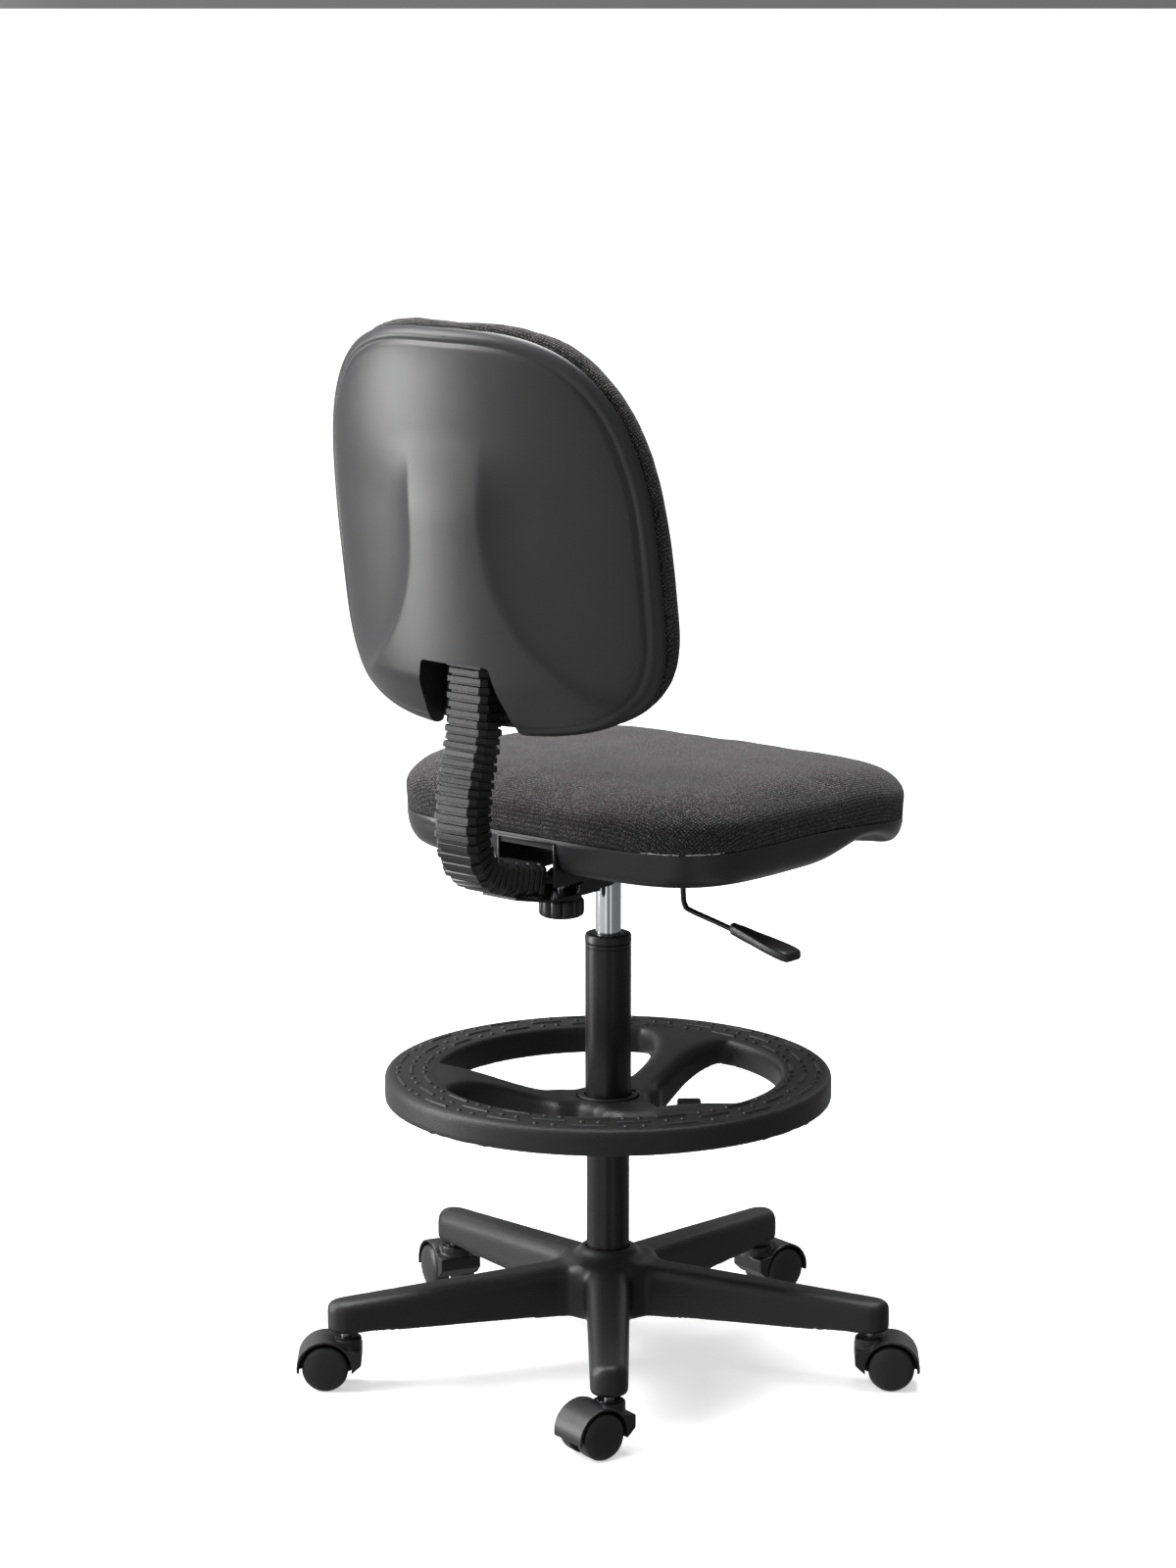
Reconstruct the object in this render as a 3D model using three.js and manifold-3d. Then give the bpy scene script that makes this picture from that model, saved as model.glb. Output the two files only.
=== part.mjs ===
// Drafting chair: a five-arm base on twin-wheel casters, a tall gas lift with a foot ring,
// and a seat and backrest on a pressed-steel mechanism.
// Millimetres, +Z up, floor at Z = 0, the chair faces -Y. The pieces are drawn about the column's
// axis, and the whole chair is then moved so that the origin is under the middle of its box.
import * as THREE from "three";
import { mergeVertices } from "three/addons/utils/BufferGeometryUtils.js";
import Module from "manifold-3d";

const wasm = await Module();
wasm.setup();

const degree = Math.PI / 180;
const gap = 0.4; // between pieces that touch on the real chair
const running = 0.8; // between pieces that turn or slide past each other

// ---- driving dimensions -------------------------------------------------------------------

const caster = {
  wheelRadius: 25,
  wheelWidth: 19.4,
  webWidth: 14,
  trail: 22,
  fenderRadius: 31,
  fenderWall: 2.8,
  bossRadius: 17,
  top: 55,
  stemRadius: 5.5,
  pinRadius: 4,
  axleRadius: 3,
};

const base = {
  arms: 5,
  firstArm: 130,
  stemRadius: 297,
  hubWidth: 48,
  tipWidth: 40,
  hubBottom: 58,
  tipBottom: 62,
  hubTop: 118,
  tipTop: 97,
  hubRadius: 43,
  collarRadius: 30,
  collarTop: 130,
  wall: 4,
};
const casterTurns = [75, 218, 258, 335, 41]; // where each caster's wheels trail, in degrees
const columnPlace = [-7, 24]; // puts the origin under the middle of the whole chair

const column = {
  upperRadius: 25,
  lowerRadius: 23.3,
  wall: 2,
  bottom: 64,
  swage: 250,
  top: 470,
  capTop: 480,
  bushBottom: 372,
};

const lift = {
  rodRadius: 5,
  rodTop: 428,
  radius: 14,
  wall: 2,
  bottom: 172,
  top: 580,
  taperFrom: 540,
  taperBy: 0.8,
};

const ring = {
  radius: 242.5,
  innerRadius: 187,
  top: 327.5,
  height: 31,
  wall: 4,
  fillet: 5.5,
  hubRadius: 50,
  hubTop: 300,
  hubBottom: 246,
  sleeveRadius: 33,
  spokeAngles: [279, 43, 158],
  spokeWidth: 44,
  spokeFlare: 84,
  spokeSweep: 14,
  knobAngle: 220,
  knobHeight: 279,
};

const seat = {
  width: 472,
  depth: 444,
  centreY: -80,
  power: 5,
  seam: 609,
  frontDrop: 12,
  shellMargin: 8,
  shellDepth: 39,
  shellInset: 40,
  shellWall: 3.5,
  cushionHeight: 60,
  bulgeHeight: 18,
  boardThickness: 10,
  boardInset: 24,
  boardShort: 48,
  notchWidth: 84,
  notchTop: 598,
};

const back = {
  y: 219,
  z: 945,
  recline: 8,
  width: 446,
  widestZ: -75,
  above: 292,
  below: 142,
  powerAbove: 3.1,
  powerBelow: 3.4,
  wrapRadius: 520,
  rimDepth: 8,
  crown: 24,
  spine: 34,
  spineWidth: 62,
  shellWall: 3.5,
  cushionThickness: 46,
  boardThickness: 6,
  boardSink: 3,
  boardInset: 24,
  slotWidth: 96,
  slotTop: 809,
};

const plate = { z: 584, thickness: 3, width: 150, length: 190, boltX: 60, boltY: 78 };
const pivot = { y: 30, z: 551, radius: 4, overhang: 2.5 };
const bar = { width: 46, thickness: 6, y: 214.5, bendZ: 800, top: 950, front: 50 };
const bracket = { room: 1.5, sheet: 3 }; // beside the bar, and its sheet
const lugInside = bar.width / 2 + bracket.room;
const bellows = { width: bar.width + 11, depth: 36, front: 135, top: 836, wall: 2.5 };
const knob = { y: 78, radius: 24.5, height: 21, top: 532 };
const lever = { z: 592, radius: 3, hingeX: -22, dropX: -101, elbowZ: 524, tipX: -176, tipZ: 509 };
const paddle = { inner: -170, outer: -252, innerZ: 510, outerZ: 492, width: 27, thickness: 9 };

// ---- shape helpers ------------------------------------------------------------------------

function signedVolume(positions, index) {
  let total = 0;
  for (let i = 0; i < index.length; i += 3) {
    const [a, b, c] = [0, 1, 2].map((k) => new THREE.Vector3().fromBufferAttribute(positions, index[i + k]));
    total += a.dot(b.cross(c)) / 6;
  }
  return total;
}

// Shared corners, no collapsed triangles, faces pointing out.
function closed(geometry) {
  const bare = geometry.clone();
  bare.deleteAttribute("normal");
  bare.deleteAttribute("uv");
  const merged = mergeVertices(bare, 1e-4);
  const kept = [];
  const all = merged.index.array;
  for (let i = 0; i < all.length; i += 3) {
    const [a, b, c] = [all[i], all[i + 1], all[i + 2]];
    if (a !== b && b !== c && c !== a) kept.push(a, b, c);
  }
  const inside = signedVolume(merged.attributes.position, kept) < 0;
  if (inside) {
    for (let i = 0; i < kept.length; i += 3) [kept[i], kept[i + 1]] = [kept[i + 1], kept[i]];
  }
  merged.setIndex(kept);
  return merged;
}

function toSolid(geometry) {
  const shape = closed(geometry);
  return new wasm.Manifold(
    new wasm.Mesh({
      numProp: 3,
      vertProperties: new Float32Array(shape.attributes.position.array),
      triVerts: new Uint32Array(shape.index.array),
    }),
  );
}

function toGeometry(manifold) {
  const mesh = manifold.getMesh();
  const geometry = new THREE.BufferGeometry();
  geometry.setAttribute("position", new THREE.BufferAttribute(mesh.vertProperties, 3));
  geometry.setIndex(new THREE.BufferAttribute(mesh.triVerts, 1));
  return geometry;
}

function join(...bodies) {
  return toGeometry(bodies.map(toSolid).reduce((left, right) => left.add(right)));
}

function cut(body, ...tools) {
  return toGeometry(tools.map(toSolid).reduce((left, tool) => left.subtract(tool), toSolid(body)));
}

// A [radius, height] outline turned about Z. An outline off the axis closes on itself.
function turned(outline, segments) {
  const points = outline.map(([radius, height]) => new THREE.Vector2(radius, height));
  const onAxis = points[0].x === 0 && points.at(-1).x === 0;
  if (!onAxis) points.push(points[0].clone());
  return new THREE.LatheGeometry(points, segments).rotateX(Math.PI / 2);
}

function rod(radius, from, to, segments = 16) {
  return turned([[0, from], [radius, from], [radius, to], [0, to]], segments);
}

function box(width, depth, height, x = 0, y = 0, z = 0) {
  return new THREE.BoxGeometry(width, depth, height).translate(x, y, z);
}

// Rows of matching points skinned into one closed body, each end closed by a fan.
function loft(rows) {
  const across = rows[0].length;
  const ends = [rows[0], rows.at(-1)].map((row) => {
    const middle = new THREE.Vector3();
    row.forEach((point) => middle.addScaledVector(point, 1 / across));
    return middle;
  });
  const points = [...rows.flat(), ...ends];
  const index = [];
  for (let row = 0; row + 1 < rows.length; row += 1) {
    for (let i = 0; i < across; i += 1) {
      const [a, b] = [row * across + i, row * across + ((i + 1) % across)];
      index.push(a, b, b + across, a, b + across, a + across);
    }
  }
  const lastRow = (rows.length - 1) * across;
  const [firstCentre, lastCentre] = [rows.length * across, rows.length * across + 1];
  for (let i = 0; i < across; i += 1) {
    const next = (i + 1) % across;
    index.push(firstCentre, next, i, lastCentre, lastRow + i, lastRow + next);
  }
  const geometry = new THREE.BufferGeometry();
  geometry.setAttribute("position", new THREE.Float32BufferAttribute(points.flatMap((p) => p.toArray()), 3));
  geometry.setIndex(index);
  return geometry;
}

// Corner points [across, up] of a rectangle whose lower and upper corners have their own radius.
function roundedRectangle(width, low, high, lowRadius, highRadius, steps) {
  const corners = [
    [width / 2, low, lowRadius, -90],
    [width / 2, high, highRadius, 0],
    [-width / 2, high, highRadius, 90],
    [-width / 2, low, lowRadius, 180],
  ];
  return corners.flatMap(([x, z, radius, start]) => {
    const [cx, cz] = [x - Math.sign(x) * radius, z + (z === low ? radius : -radius)];
    const turns = Array.from({ length: steps + 1 }, (_, i) => (start + (90 * i) / steps) * degree);
    return turns.map((turn) => [cx + radius * Math.cos(turn), cz + radius * Math.sin(turn)]);
  });
}

function tube(points, radius, steps, sides = 8) {
  const section = new THREE.Shape();
  section.absarc(0, 0, radius, 0, 2 * Math.PI, false);
  const halfTurns = 2; // an arc is cut into twice the pieces that it is asked for
  const path = new THREE.CatmullRomCurve3(points, false, "catmullrom", 0.2);
  return new THREE.ExtrudeGeometry(section, {
    steps,
    curveSegments: sides / halfTurns,
    extrudePath: path,
    bevelEnabled: false,
  });
}

// A strip of sheet or bar along a line in the YZ plane, centred on X = 0.
function strip(line, width, thickness) {
  const rows = line.map((point, i) => {
    const before = line[Math.max(i - 1, 0)];
    const after = line[Math.min(i + 1, line.length - 1)];
    const run = new THREE.Vector2(after[0] - before[0], after[1] - before[1]).normalize();
    const [ny, nz] = [(-run.y * thickness) / 2, (run.x * thickness) / 2];
    const corner = (x, side) =>
      new THREE.Vector3((x * width) / 2, point[0] + side * ny, point[1] + side * nz);
    return [corner(-1, -1), corner(1, -1), corner(1, 1), corner(-1, 1)];
  });
  return loft(rows);
}

const finishes = {
  nylon: { color: 0x1a1a1c, roughness: 0.55, metalness: 0 },
  shell: { color: 0x222225, roughness: 0.5, metalness: 0 },
  fabric: { color: 0x1d1c1d, roughness: 0.95, metalness: 0 },
  blackSteel: { color: 0x111112, roughness: 0.35, metalness: 0.4 },
  chrome: { color: 0xd9dbe0, roughness: 0.12, metalness: 1 },
  steel: { color: 0x9a9ca0, roughness: 0.35, metalness: 1 },
  rubber: { color: 0x151515, roughness: 0.85, metalness: 0 },
  plywood: { color: 0xb08a5a, roughness: 0.8, metalness: 0 },
};

function piece(name, geometry, finish) {
  const mesh = new THREE.Mesh(closed(geometry), new THREE.MeshStandardMaterial(finishes[finish]));
  mesh.name = name;
  return mesh;
}

// ---- base ---------------------------------------------------------------------------------

const armEnd = base.stemRadius + base.tipWidth / 2;
const between = (from, to, share) => from + (to - from) * share;
const armShare = (radius) => Math.min(radius / base.stemRadius, 1);
const armTop = (radius) => between(base.hubTop, base.tipTop, armShare(radius));
const armBottom = (radius) => between(base.hubBottom, base.tipBottom, armShare(radius));
const armWidth = (radius) => between(base.hubWidth, base.tipWidth, armShare(radius));

function armRow(radius, width, low, high, lowRadius, highRadius) {
  const corners = roundedRectangle(width, low, high, lowRadius, highRadius, 1);
  return corners.map(([across, up]) => new THREE.Vector3(radius, across, up));
}

function armBody() {
  const rows = [20, base.stemRadius].map((radius) =>
    armRow(radius, armWidth(radius), armBottom(radius), armTop(radius), 2, 13),
  );
  for (const turn of [38, 72]) {
    const radius = base.stemRadius + (base.tipWidth / 2) * Math.sin(turn * degree);
    const width = base.tipWidth * Math.cos(turn * degree);
    const droop = 6 * (turn / 75) ** 2;
    rows.push(armRow(radius, width, base.tipBottom, base.tipTop - droop, 1.5, width / 3));
  }
  return loft(rows);
}

function armHollow() {
  const rows = [base.hubRadius + 6, base.stemRadius - 22].map((radius) => {
    const width = armWidth(radius) - 2 * base.wall;
    return armRow(radius, width, armBottom(radius) - 10, armTop(radius) - base.wall, 2, 9);
  });
  return loft(rows);
}

function starBase() {
  const hub = turned(
    [
      [0, base.hubBottom - 2],
      [base.hubRadius, base.hubBottom - 2],
      [base.hubRadius + 4, base.hubTop - 14],
      [base.hubRadius - 1, base.hubTop - 4],
      [base.collarRadius + 4, base.hubTop + 5],
      [base.collarRadius, base.collarTop - 3],
      [base.collarRadius - 2, base.collarTop],
      [0, base.collarTop],
    ],
    24,
  );
  const bore = rod(column.lowerRadius + gap, base.hubBottom - 10, base.collarTop + 10, 24);
  const bodies = [hub];
  const hollows = [bore];
  for (let arm = 0; arm < base.arms; arm += 1) {
    const turn = (arm * 2 * Math.PI) / base.arms;
    bodies.push(armBody().rotateZ(turn));
    hollows.push(armHollow().rotateZ(turn));
    const socket = rod(caster.stemRadius + gap, base.tipBottom - 5, base.tipTop - 5, 12);
    hollows.push(socket.translate(base.stemRadius, 0, 0).rotateZ(turn));
  }
  return cut(join(...bodies), ...hollows).rotateZ(base.firstArm * degree);
}

// ---- column and lift ------------------------------------------------------------------------

function standTube() {
  const lowInner = column.lowerRadius - column.wall;
  const highInner = column.upperRadius - column.wall;
  const holeRadius = lift.rodRadius;
  return turned(
    [
      [holeRadius, column.bottom],
      [column.lowerRadius, column.bottom],
      [column.lowerRadius, column.swage],
      [column.upperRadius, column.swage + 12],
      [column.upperRadius, column.top],
      [highInner, column.top],
      [highInner, column.swage + 13],
      [lowInner, column.swage + 1],
      [lowInner, column.bottom + 3],
      [holeRadius, column.bottom + 3],
    ],
    20,
  );
}

function guideBush() {
  const inner = lift.radius + gap;
  const skirt = column.upperRadius - column.wall - gap;
  return turned(
    [
      [inner, column.bushBottom],
      [skirt, column.bushBottom],
      [skirt, column.top + gap],
      [column.upperRadius + 0.3, column.top + gap],
      [column.upperRadius + 0.3, column.capTop - 1.5],
      [column.upperRadius - 1, column.capTop],
      [inner, column.capTop],
    ],
    20,
  );
}

const bearingTop = column.bottom + 3 + gap + 7;

function pistonRod() {
  const spigot = lift.rodRadius - 1;
  return turned(
    [
      [0, column.bottom - 7],
      [spigot, column.bottom - 7],
      [spigot, bearingTop + gap],
      [lift.rodRadius, bearingTop + gap],
      [lift.rodRadius, lift.rodTop - 16],
      [lift.radius - lift.wall - running, lift.rodTop - 16],
      [lift.radius - lift.wall - running, lift.rodTop],
      [0, lift.rodTop],
    ],
    20,
  );
}

function collar(inner, outer, from, to, segments = 20) {
  return turned([[inner, from], [outer, from], [outer, to], [inner, to]], segments);
}

function gasCylinder() {
  const inner = lift.radius - lift.wall;
  return turned(
    [
      [lift.rodRadius + gap, lift.bottom],
      [lift.radius, lift.bottom],
      [lift.radius, lift.taperFrom],
      [lift.radius - lift.taperBy, lift.top],
      [3 + gap, lift.top],
      [3 + gap, lift.top - 12],
      [inner - lift.taperBy, lift.top - 12],
      [inner, lift.taperFrom],
      [inner, lift.bottom + 12],
      [lift.rodRadius + gap, lift.bottom + 12],
    ],
    20,
  );
}

// ---- foot ring ------------------------------------------------------------------------------

function ringRim() {
  const { radius, innerRadius, top, height, wall, fillet } = ring;
  const bottom = top - height;
  const bend = fillet * (1 - Math.SQRT1_2);
  return turned(
    [
      [radius, bottom],
      [radius, top - fillet],
      [radius - bend, top - bend],
      [radius - fillet, top],
      [innerRadius + fillet, top],
      [innerRadius + bend, top - bend],
      [innerRadius, top - fillet],
      [innerRadius, bottom - 2],
      [innerRadius + wall, bottom - 2],
      [innerRadius + wall, top - wall],
      [radius - wall, top - wall],
      [radius - wall, bottom],
    ],
    36,
  );
}

// One swept arm of the ring: it leaves the hub low, rises and widens into the rim.
function ringSpoke(angle) {
  const start = column.upperRadius + 4;
  const finish = ring.innerRadius + ring.wall;
  const steps = 5;
  const rows = [];
  for (let i = 0; i <= steps; i += 1) {
    const share = i / steps;
    const radius = between(start, finish, share);
    const turn = (angle + ring.spokeSweep * (share - 0.75) * share) * degree;
    const width = ring.spokeWidth + ring.spokeFlare * share ** 6 + 12 * (1 - share) ** 2;
    const high = between(ring.hubTop - 1, ring.top - 2, share ** 1.6);
    const low = between(ring.hubBottom + 6, ring.top - ring.height + 4, share ** 0.9);
    const section = roundedRectangle(width, low, high, 3, 12, 1);
    rows.push(section.map(([across, up]) => new THREE.Vector3(radius, across, up).applyAxisAngle(
      new THREE.Vector3(0, 0, 1),
      turn,
    )));
  }
  return loft(rows);
}

function footRing() {
  const bore = ring.sleeveRadius + running;
  const hub = turned(
    [
      [0, ring.hubBottom],
      [ring.hubRadius - 4, ring.hubBottom],
      [ring.hubRadius, ring.hubTop - 12],
      [ring.hubRadius - 6, ring.hubTop - 2],
      [ring.hubRadius - 12, ring.hubTop],
      [0, ring.hubTop],
    ],
    24,
  );
  const beyond = collar(ring.innerRadius + ring.wall / 2, ring.radius, ring.hubBottom, ring.top + 10, 36);
  const spokes = cut(join(...ring.spokeAngles.map(ringSpoke)), beyond);
  const body = join(ringRim(), hub, spokes);
  const studHole = rod(4 + gap, 20, ring.hubRadius + 10, 12).rotateY(Math.PI / 2);
  const drilled = studHole.translate(0, 0, ring.knobHeight).rotateZ(ring.knobAngle * degree);
  return cut(body, rod(bore, ring.hubBottom - 20, ring.hubTop + 20, 24), drilled);
}

function ringSleeve() {
  const inner = column.upperRadius + running;
  const body = turned(
    [
      [inner, ring.hubBottom + 8 + 9],
      [ring.sleeveRadius, ring.hubBottom + 8 + 9],
      [ring.sleeveRadius, ring.hubTop],
      [inner, ring.hubTop],
    ],
    24,
  );
  const split = box(20, 5, 120, column.upperRadius + 5, 0, ring.hubTop - 30);
  return cut(body, split.rotateZ((ring.knobAngle + 18) * degree));
}

function ringKnob() {
  const blade = box(26, 12, 20, ring.hubRadius + 38, 0, 5);
  const stud = rod(3 + gap, ring.hubRadius, ring.hubRadius + 45, 10).rotateY(Math.PI / 2);
  return cut(blade, stud);
}

function ringStud() {
  const seatDepth = ring.sleeveRadius + running;
  return rod(3, seatDepth, ring.hubRadius + 44, 12).rotateY(Math.PI / 2);
}

// ---- casters --------------------------------------------------------------------------------

// The flats of its round are the wheel's real radius from the axle, and one of them is down.
function wheel() {
  const { wheelWidth: width, axleRadius } = caster;
  const sides = 14;
  const radius = caster.wheelRadius / Math.cos(Math.PI / sides);
  const bore = axleRadius + gap;
  const body = turned(
    [
      [0, width - 5],
      [bore, width - 5],
      [bore, 0],
      [radius, 0],
      [radius, width - 5],
      [radius - 2.5, width - 1.8],
      [radius / 2, width],
      [0, width],
    ],
    sides,
  );
  return body.rotateZ(Math.PI / sides);
}

function casterHood() {
  const { trail, fenderRadius, fenderWall, webWidth, wheelWidth, bossRadius, top, wheelRadius } = caster;
  const whole = webWidth + 2 * wheelWidth - 4;
  const fender = new THREE.Shape();
  fender.absarc(trail, wheelRadius, fenderRadius, -8 * degree, 138 * degree, false);
  fender.lineTo(-bossRadius, top - 12);
  fender.lineTo(-bossRadius, wheelRadius + 4);
  fender.lineTo(-4, wheelRadius - 8);
  fender.lineTo(trail, wheelRadius - 9);
  const side = { depth: whole, bevelEnabled: false, curveSegments: 6 };
  const block = new THREE.ExtrudeGeometry(fender, side).translate(0, 0, -whole / 2).rotateX(Math.PI / 2);
  const pocket = (end) => {
    const hollow = rod(fenderRadius - fenderWall, 0, wheelWidth + 10, 14).rotateX(Math.PI / 2);
    const wall = webWidth / 2;
    return hollow.translate(trail, end > 0 ? wall + wheelWidth + 10 : -wall, wheelRadius);
  };
  const boss = rod(bossRadius, top - 22, top, 12);
  const recess = rod(bossRadius - 3.5, top - 4, top + 5, 12);
  const stemHole = rod(caster.pinRadius + gap, wheelRadius + 7, top + 10, 10);
  const axleHole = rod(caster.axleRadius + gap, -whole, whole, 10).rotateX(Math.PI / 2);
  const trim = (end) => box(120, 40, 120, 0, end * (whole / 2 + 20), 0);
  const body = cut(join(block, boss), pocket(1), pocket(-1), recess, stemHole, trim(1), trim(-1));
  return cut(body, axleHole.translate(trail, 0, wheelRadius));
}

function casterStem() {
  const { pinRadius, stemRadius, top, wheelRadius } = caster;
  return turned(
    [
      [0, wheelRadius + 8],
      [pinRadius, wheelRadius + 8],
      [pinRadius, top - 4 + gap],
      [8, top - 4 + gap],
      [8, top - 1],
      [stemRadius, top + 1],
      [stemRadius, base.tipTop - 8],
      [stemRadius - 1.5, base.tipTop - 6],
      [0, base.tipTop - 6],
    ],
    8,
  );
}

function casterGroup(number) {
  const group = new THREE.Group();
  const armAngle = (base.firstArm + ((number - 1) * 360) / base.arms) * degree;
  group.position.set(base.stemRadius * Math.cos(armAngle), base.stemRadius * Math.sin(armAngle), 0);
  group.rotation.z = casterTurns[number - 1] * degree;
  const half = caster.webWidth / 2 + 0.6;
  const axleLength = half + caster.wheelWidth - 6;
  const axle = piece(`caster_axle_${number}`, rod(caster.axleRadius, -axleLength, axleLength, 10), "steel");
  axle.rotation.x = Math.PI / 2;
  axle.position.set(caster.trail, 0, caster.wheelRadius);
  const left = piece(`wheel_left_${number}`, wheel(), "nylon");
  left.rotation.x = -Math.PI / 2;
  left.position.set(caster.trail, half, caster.wheelRadius);
  const right = piece(`wheel_right_${number}`, wheel(), "nylon");
  right.rotation.x = Math.PI / 2;
  right.position.set(caster.trail, -half, caster.wheelRadius);
  group.add(piece(`caster_hood_${number}`, casterHood(), "nylon"));
  group.add(piece(`caster_stem_${number}`, casterStem(), "steel"), axle, left, right);
  return group;
}

// ---- mechanism ------------------------------------------------------------------------------

function taperSocket() {
  const taper = lift.taperBy / (lift.top - lift.taperFrom);
  const at = (z) => lift.radius - taper * Math.max(z - lift.taperFrom, 0);
  return turned(
    [
      [at(lift.taperFrom) + gap, lift.taperFrom],
      [19, lift.taperFrom],
      [19, plate.z - gap],
      [at(plate.z) + gap, plate.z - gap],
    ],
    28,
  );
}

function seatPlate() {
  const top = box(plate.width, plate.length, plate.thickness, 0, 0, plate.z + plate.thickness / 2);
  const cheekBottom = pivot.z - 6.5;
  const cheekHeight = plate.z - cheekBottom + 1;
  const cheek = (side) => box(3, 28, cheekHeight, side * 18.5, pivot.y + 4, cheekBottom + cheekHeight / 2);
  const socketClear = rod(19 + gap, plate.z - 60, plate.z - 0.01, 24);
  const pinHole = rod(pivot.radius + gap, -40, 40, 14).rotateY(Math.PI / 2).translate(0, pivot.y, pivot.z);
  const valveHole = rod(8, plate.z - 5, plate.z + 10, 16);
  const bolts = boltPlaces().map(([x, y]) => rod(3 + gap, plate.z - 5, plate.z + 10, 10).translate(x, y, 0));
  return cut(join(top, cheek(1), cheek(-1)), socketClear, pinHole, valveHole, ...bolts);
}

function boltPlaces() {
  return [1, -1].flatMap((x) => [1, -1].map((y) => [x * plate.boltX, y * plate.boltY]));
}

// The bar's lower leg climbs towards the rear; everything under it follows this line.
const legSlope = 0.2;
const legZ = (y) => 565 + (y - 142) * legSlope;

// The pressed bracket that carries the bar: it dips over the hand knob.
function tiltBracket() {
  const flat = pivot.z - 11.5;
  const line = [
    [46, flat],
    [knob.y + 40, flat],
    [135, legZ(135) - 21.5],
    [178, legZ(178) - 21.5],
  ];
  const web = strip(line, 2 * (lugInside + bracket.sheet), bracket.sheet);
  const lug = (side) => {
    const outline = new THREE.Shape();
    outline.absarc(pivot.y, pivot.z, 10.5, 75 * degree, 270 * degree, false);
    outline.lineTo(knob.y + 4, pivot.z - 10.5);
    outline.lineTo(knob.y, pivot.z);
    outline.lineTo(knob.y - 14, pivot.z + 7);
    const extent = { depth: bracket.sheet, bevelEnabled: false, curveSegments: 8 };
    const sheet = new THREE.ExtrudeGeometry(outline, extent);
    const upright = sheet.applyMatrix4(new THREE.Matrix4().makeBasis(
      new THREE.Vector3(0, 1, 0),
      new THREE.Vector3(0, 0, 1),
      new THREE.Vector3(1, 0, 0),
    ));
    return upright.translate(side > 0 ? lugInside : -lugInside - bracket.sheet, 0, 0);
  };
  const pinHole = rod(pivot.radius + gap, -40, 40, 14).rotateY(Math.PI / 2).translate(0, pivot.y, pivot.z);
  const studHole = rod(4 + gap, 500, 600, 12).translate(0, knob.y, 0);
  return cut(join(web, lug(1), lug(-1)), pinHole, studHole);
}

function tiltSpring() {
  const turns = 4;
  const stepsPerTurn = 8;
  const points = [];
  for (let i = 0; i <= turns * stepsPerTurn; i += 1) {
    const turn = (i / stepsPerTurn) * 2 * Math.PI;
    const x = between(-14, 14, i / (turns * stepsPerTurn));
    points.push(new THREE.Vector3(x, pivot.y + 7.2 * Math.cos(turn), pivot.z + 7.2 * Math.sin(turn)));
  }
  return tube(points, 1.4, turns * stepsPerTurn, 4);
}

function barKnob() {
  const flutes = 11;
  const outline = new THREE.Shape();
  for (let i = 0; i < flutes * 4; i += 1) {
    const turn = (i / (flutes * 4)) * 2 * Math.PI;
    const radius = i % 4 === 0 ? knob.radius - 2.6 : knob.radius;
    outline[i === 0 ? "moveTo" : "lineTo"](radius * Math.cos(turn), radius * Math.sin(turn));
  }
  const grip = new THREE.ExtrudeGeometry(outline, { depth: knob.height - 3, bevelEnabled: false });
  const cap = turned([[0, -3], [knob.radius - 6, -2.4], [knob.radius - 2.8, 0.2], [0, 0.2]], 22);
  const body = join(grip, cap);
  const hole = rod(4 + gap, 6, knob.height + 5, 12);
  return cut(body, hole).translate(0, knob.y, knob.top - knob.height + 3);
}

// The stud rises through the bracket into a clamp block that presses on the bar.
function barStud() {
  const { y } = knob;
  const stud = rod(4, knob.top - 10, legZ(y) - bar.thickness / 2 - 2, 12);
  const head = rod(9, legZ(y) - bar.thickness / 2 - 5, legZ(y) - bar.thickness / 2 - 2, 12);
  return join(stud, head).translate(0, y, 0);
}

// The flat bar's centre line, [y, z]: the leg, the bend and the upright.
function barLine() {
  return [
    [bar.front, legZ(bar.front)],
    [186, legZ(186)],
    [206, legZ(206) + 2],
    [222, 591],
    [231, 608],
    [234.5, 628],
    [234, 652],
    [231, 675],
    [225, 700],
    [219, 725],
    [bar.y + 1, 760],
    [bar.y, bar.bendZ],
    [bar.y + Math.tan(back.recline * degree) * (bar.top - bar.bendZ), bar.top],
  ];
}

function bellowsLine() {
  const bend = barLine().filter(([, z]) => z < bellows.top);
  const lean = Math.tan(back.recline * degree) * (bellows.top - bar.bendZ);
  return [[bellows.front, legZ(bellows.front)], ...bend.slice(1), [bar.y + lean, bellows.top]];
}

function rowsAlong(line, section) {
  return line.map((point, i) => {
    const before = line[Math.max(i - 1, 0)];
    const after = line[Math.min(i + 1, line.length - 1)];
    const run = new THREE.Vector2(after[0] - before[0], after[1] - before[1]).normalize();
    return section.map(([x, out]) => new THREE.Vector3(x, point[0] - run.y * out, point[1] + run.x * out));
  });
}

function bellowsBody() {
  const { width, depth, wall } = bellows;
  const outer = roundedRectangle(width, -depth / 2, depth / 2, 6, 6, 1);
  const inner = roundedRectangle(width - 2 * wall, wall - depth / 2, depth / 2 - wall, 3, 3, 1);
  const line = bellowsLine();
  const lengthen = (ends, by) => {
    const [a, b, y, z] = [ends[0], ends[1], ends.at(-2), ends.at(-1)];
    const out = (from, to) => {
      const run = new THREE.Vector2(to[0] - from[0], to[1] - from[1]).normalize().multiplyScalar(by);
      return [to[0] + run.x, to[1] + run.y];
    };
    return [out(b, a), ...ends, out(y, z)];
  };
  return cut(loft(rowsAlong(line, outer)), loft(rowsAlong(lengthen(line, 8), inner)));
}

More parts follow.
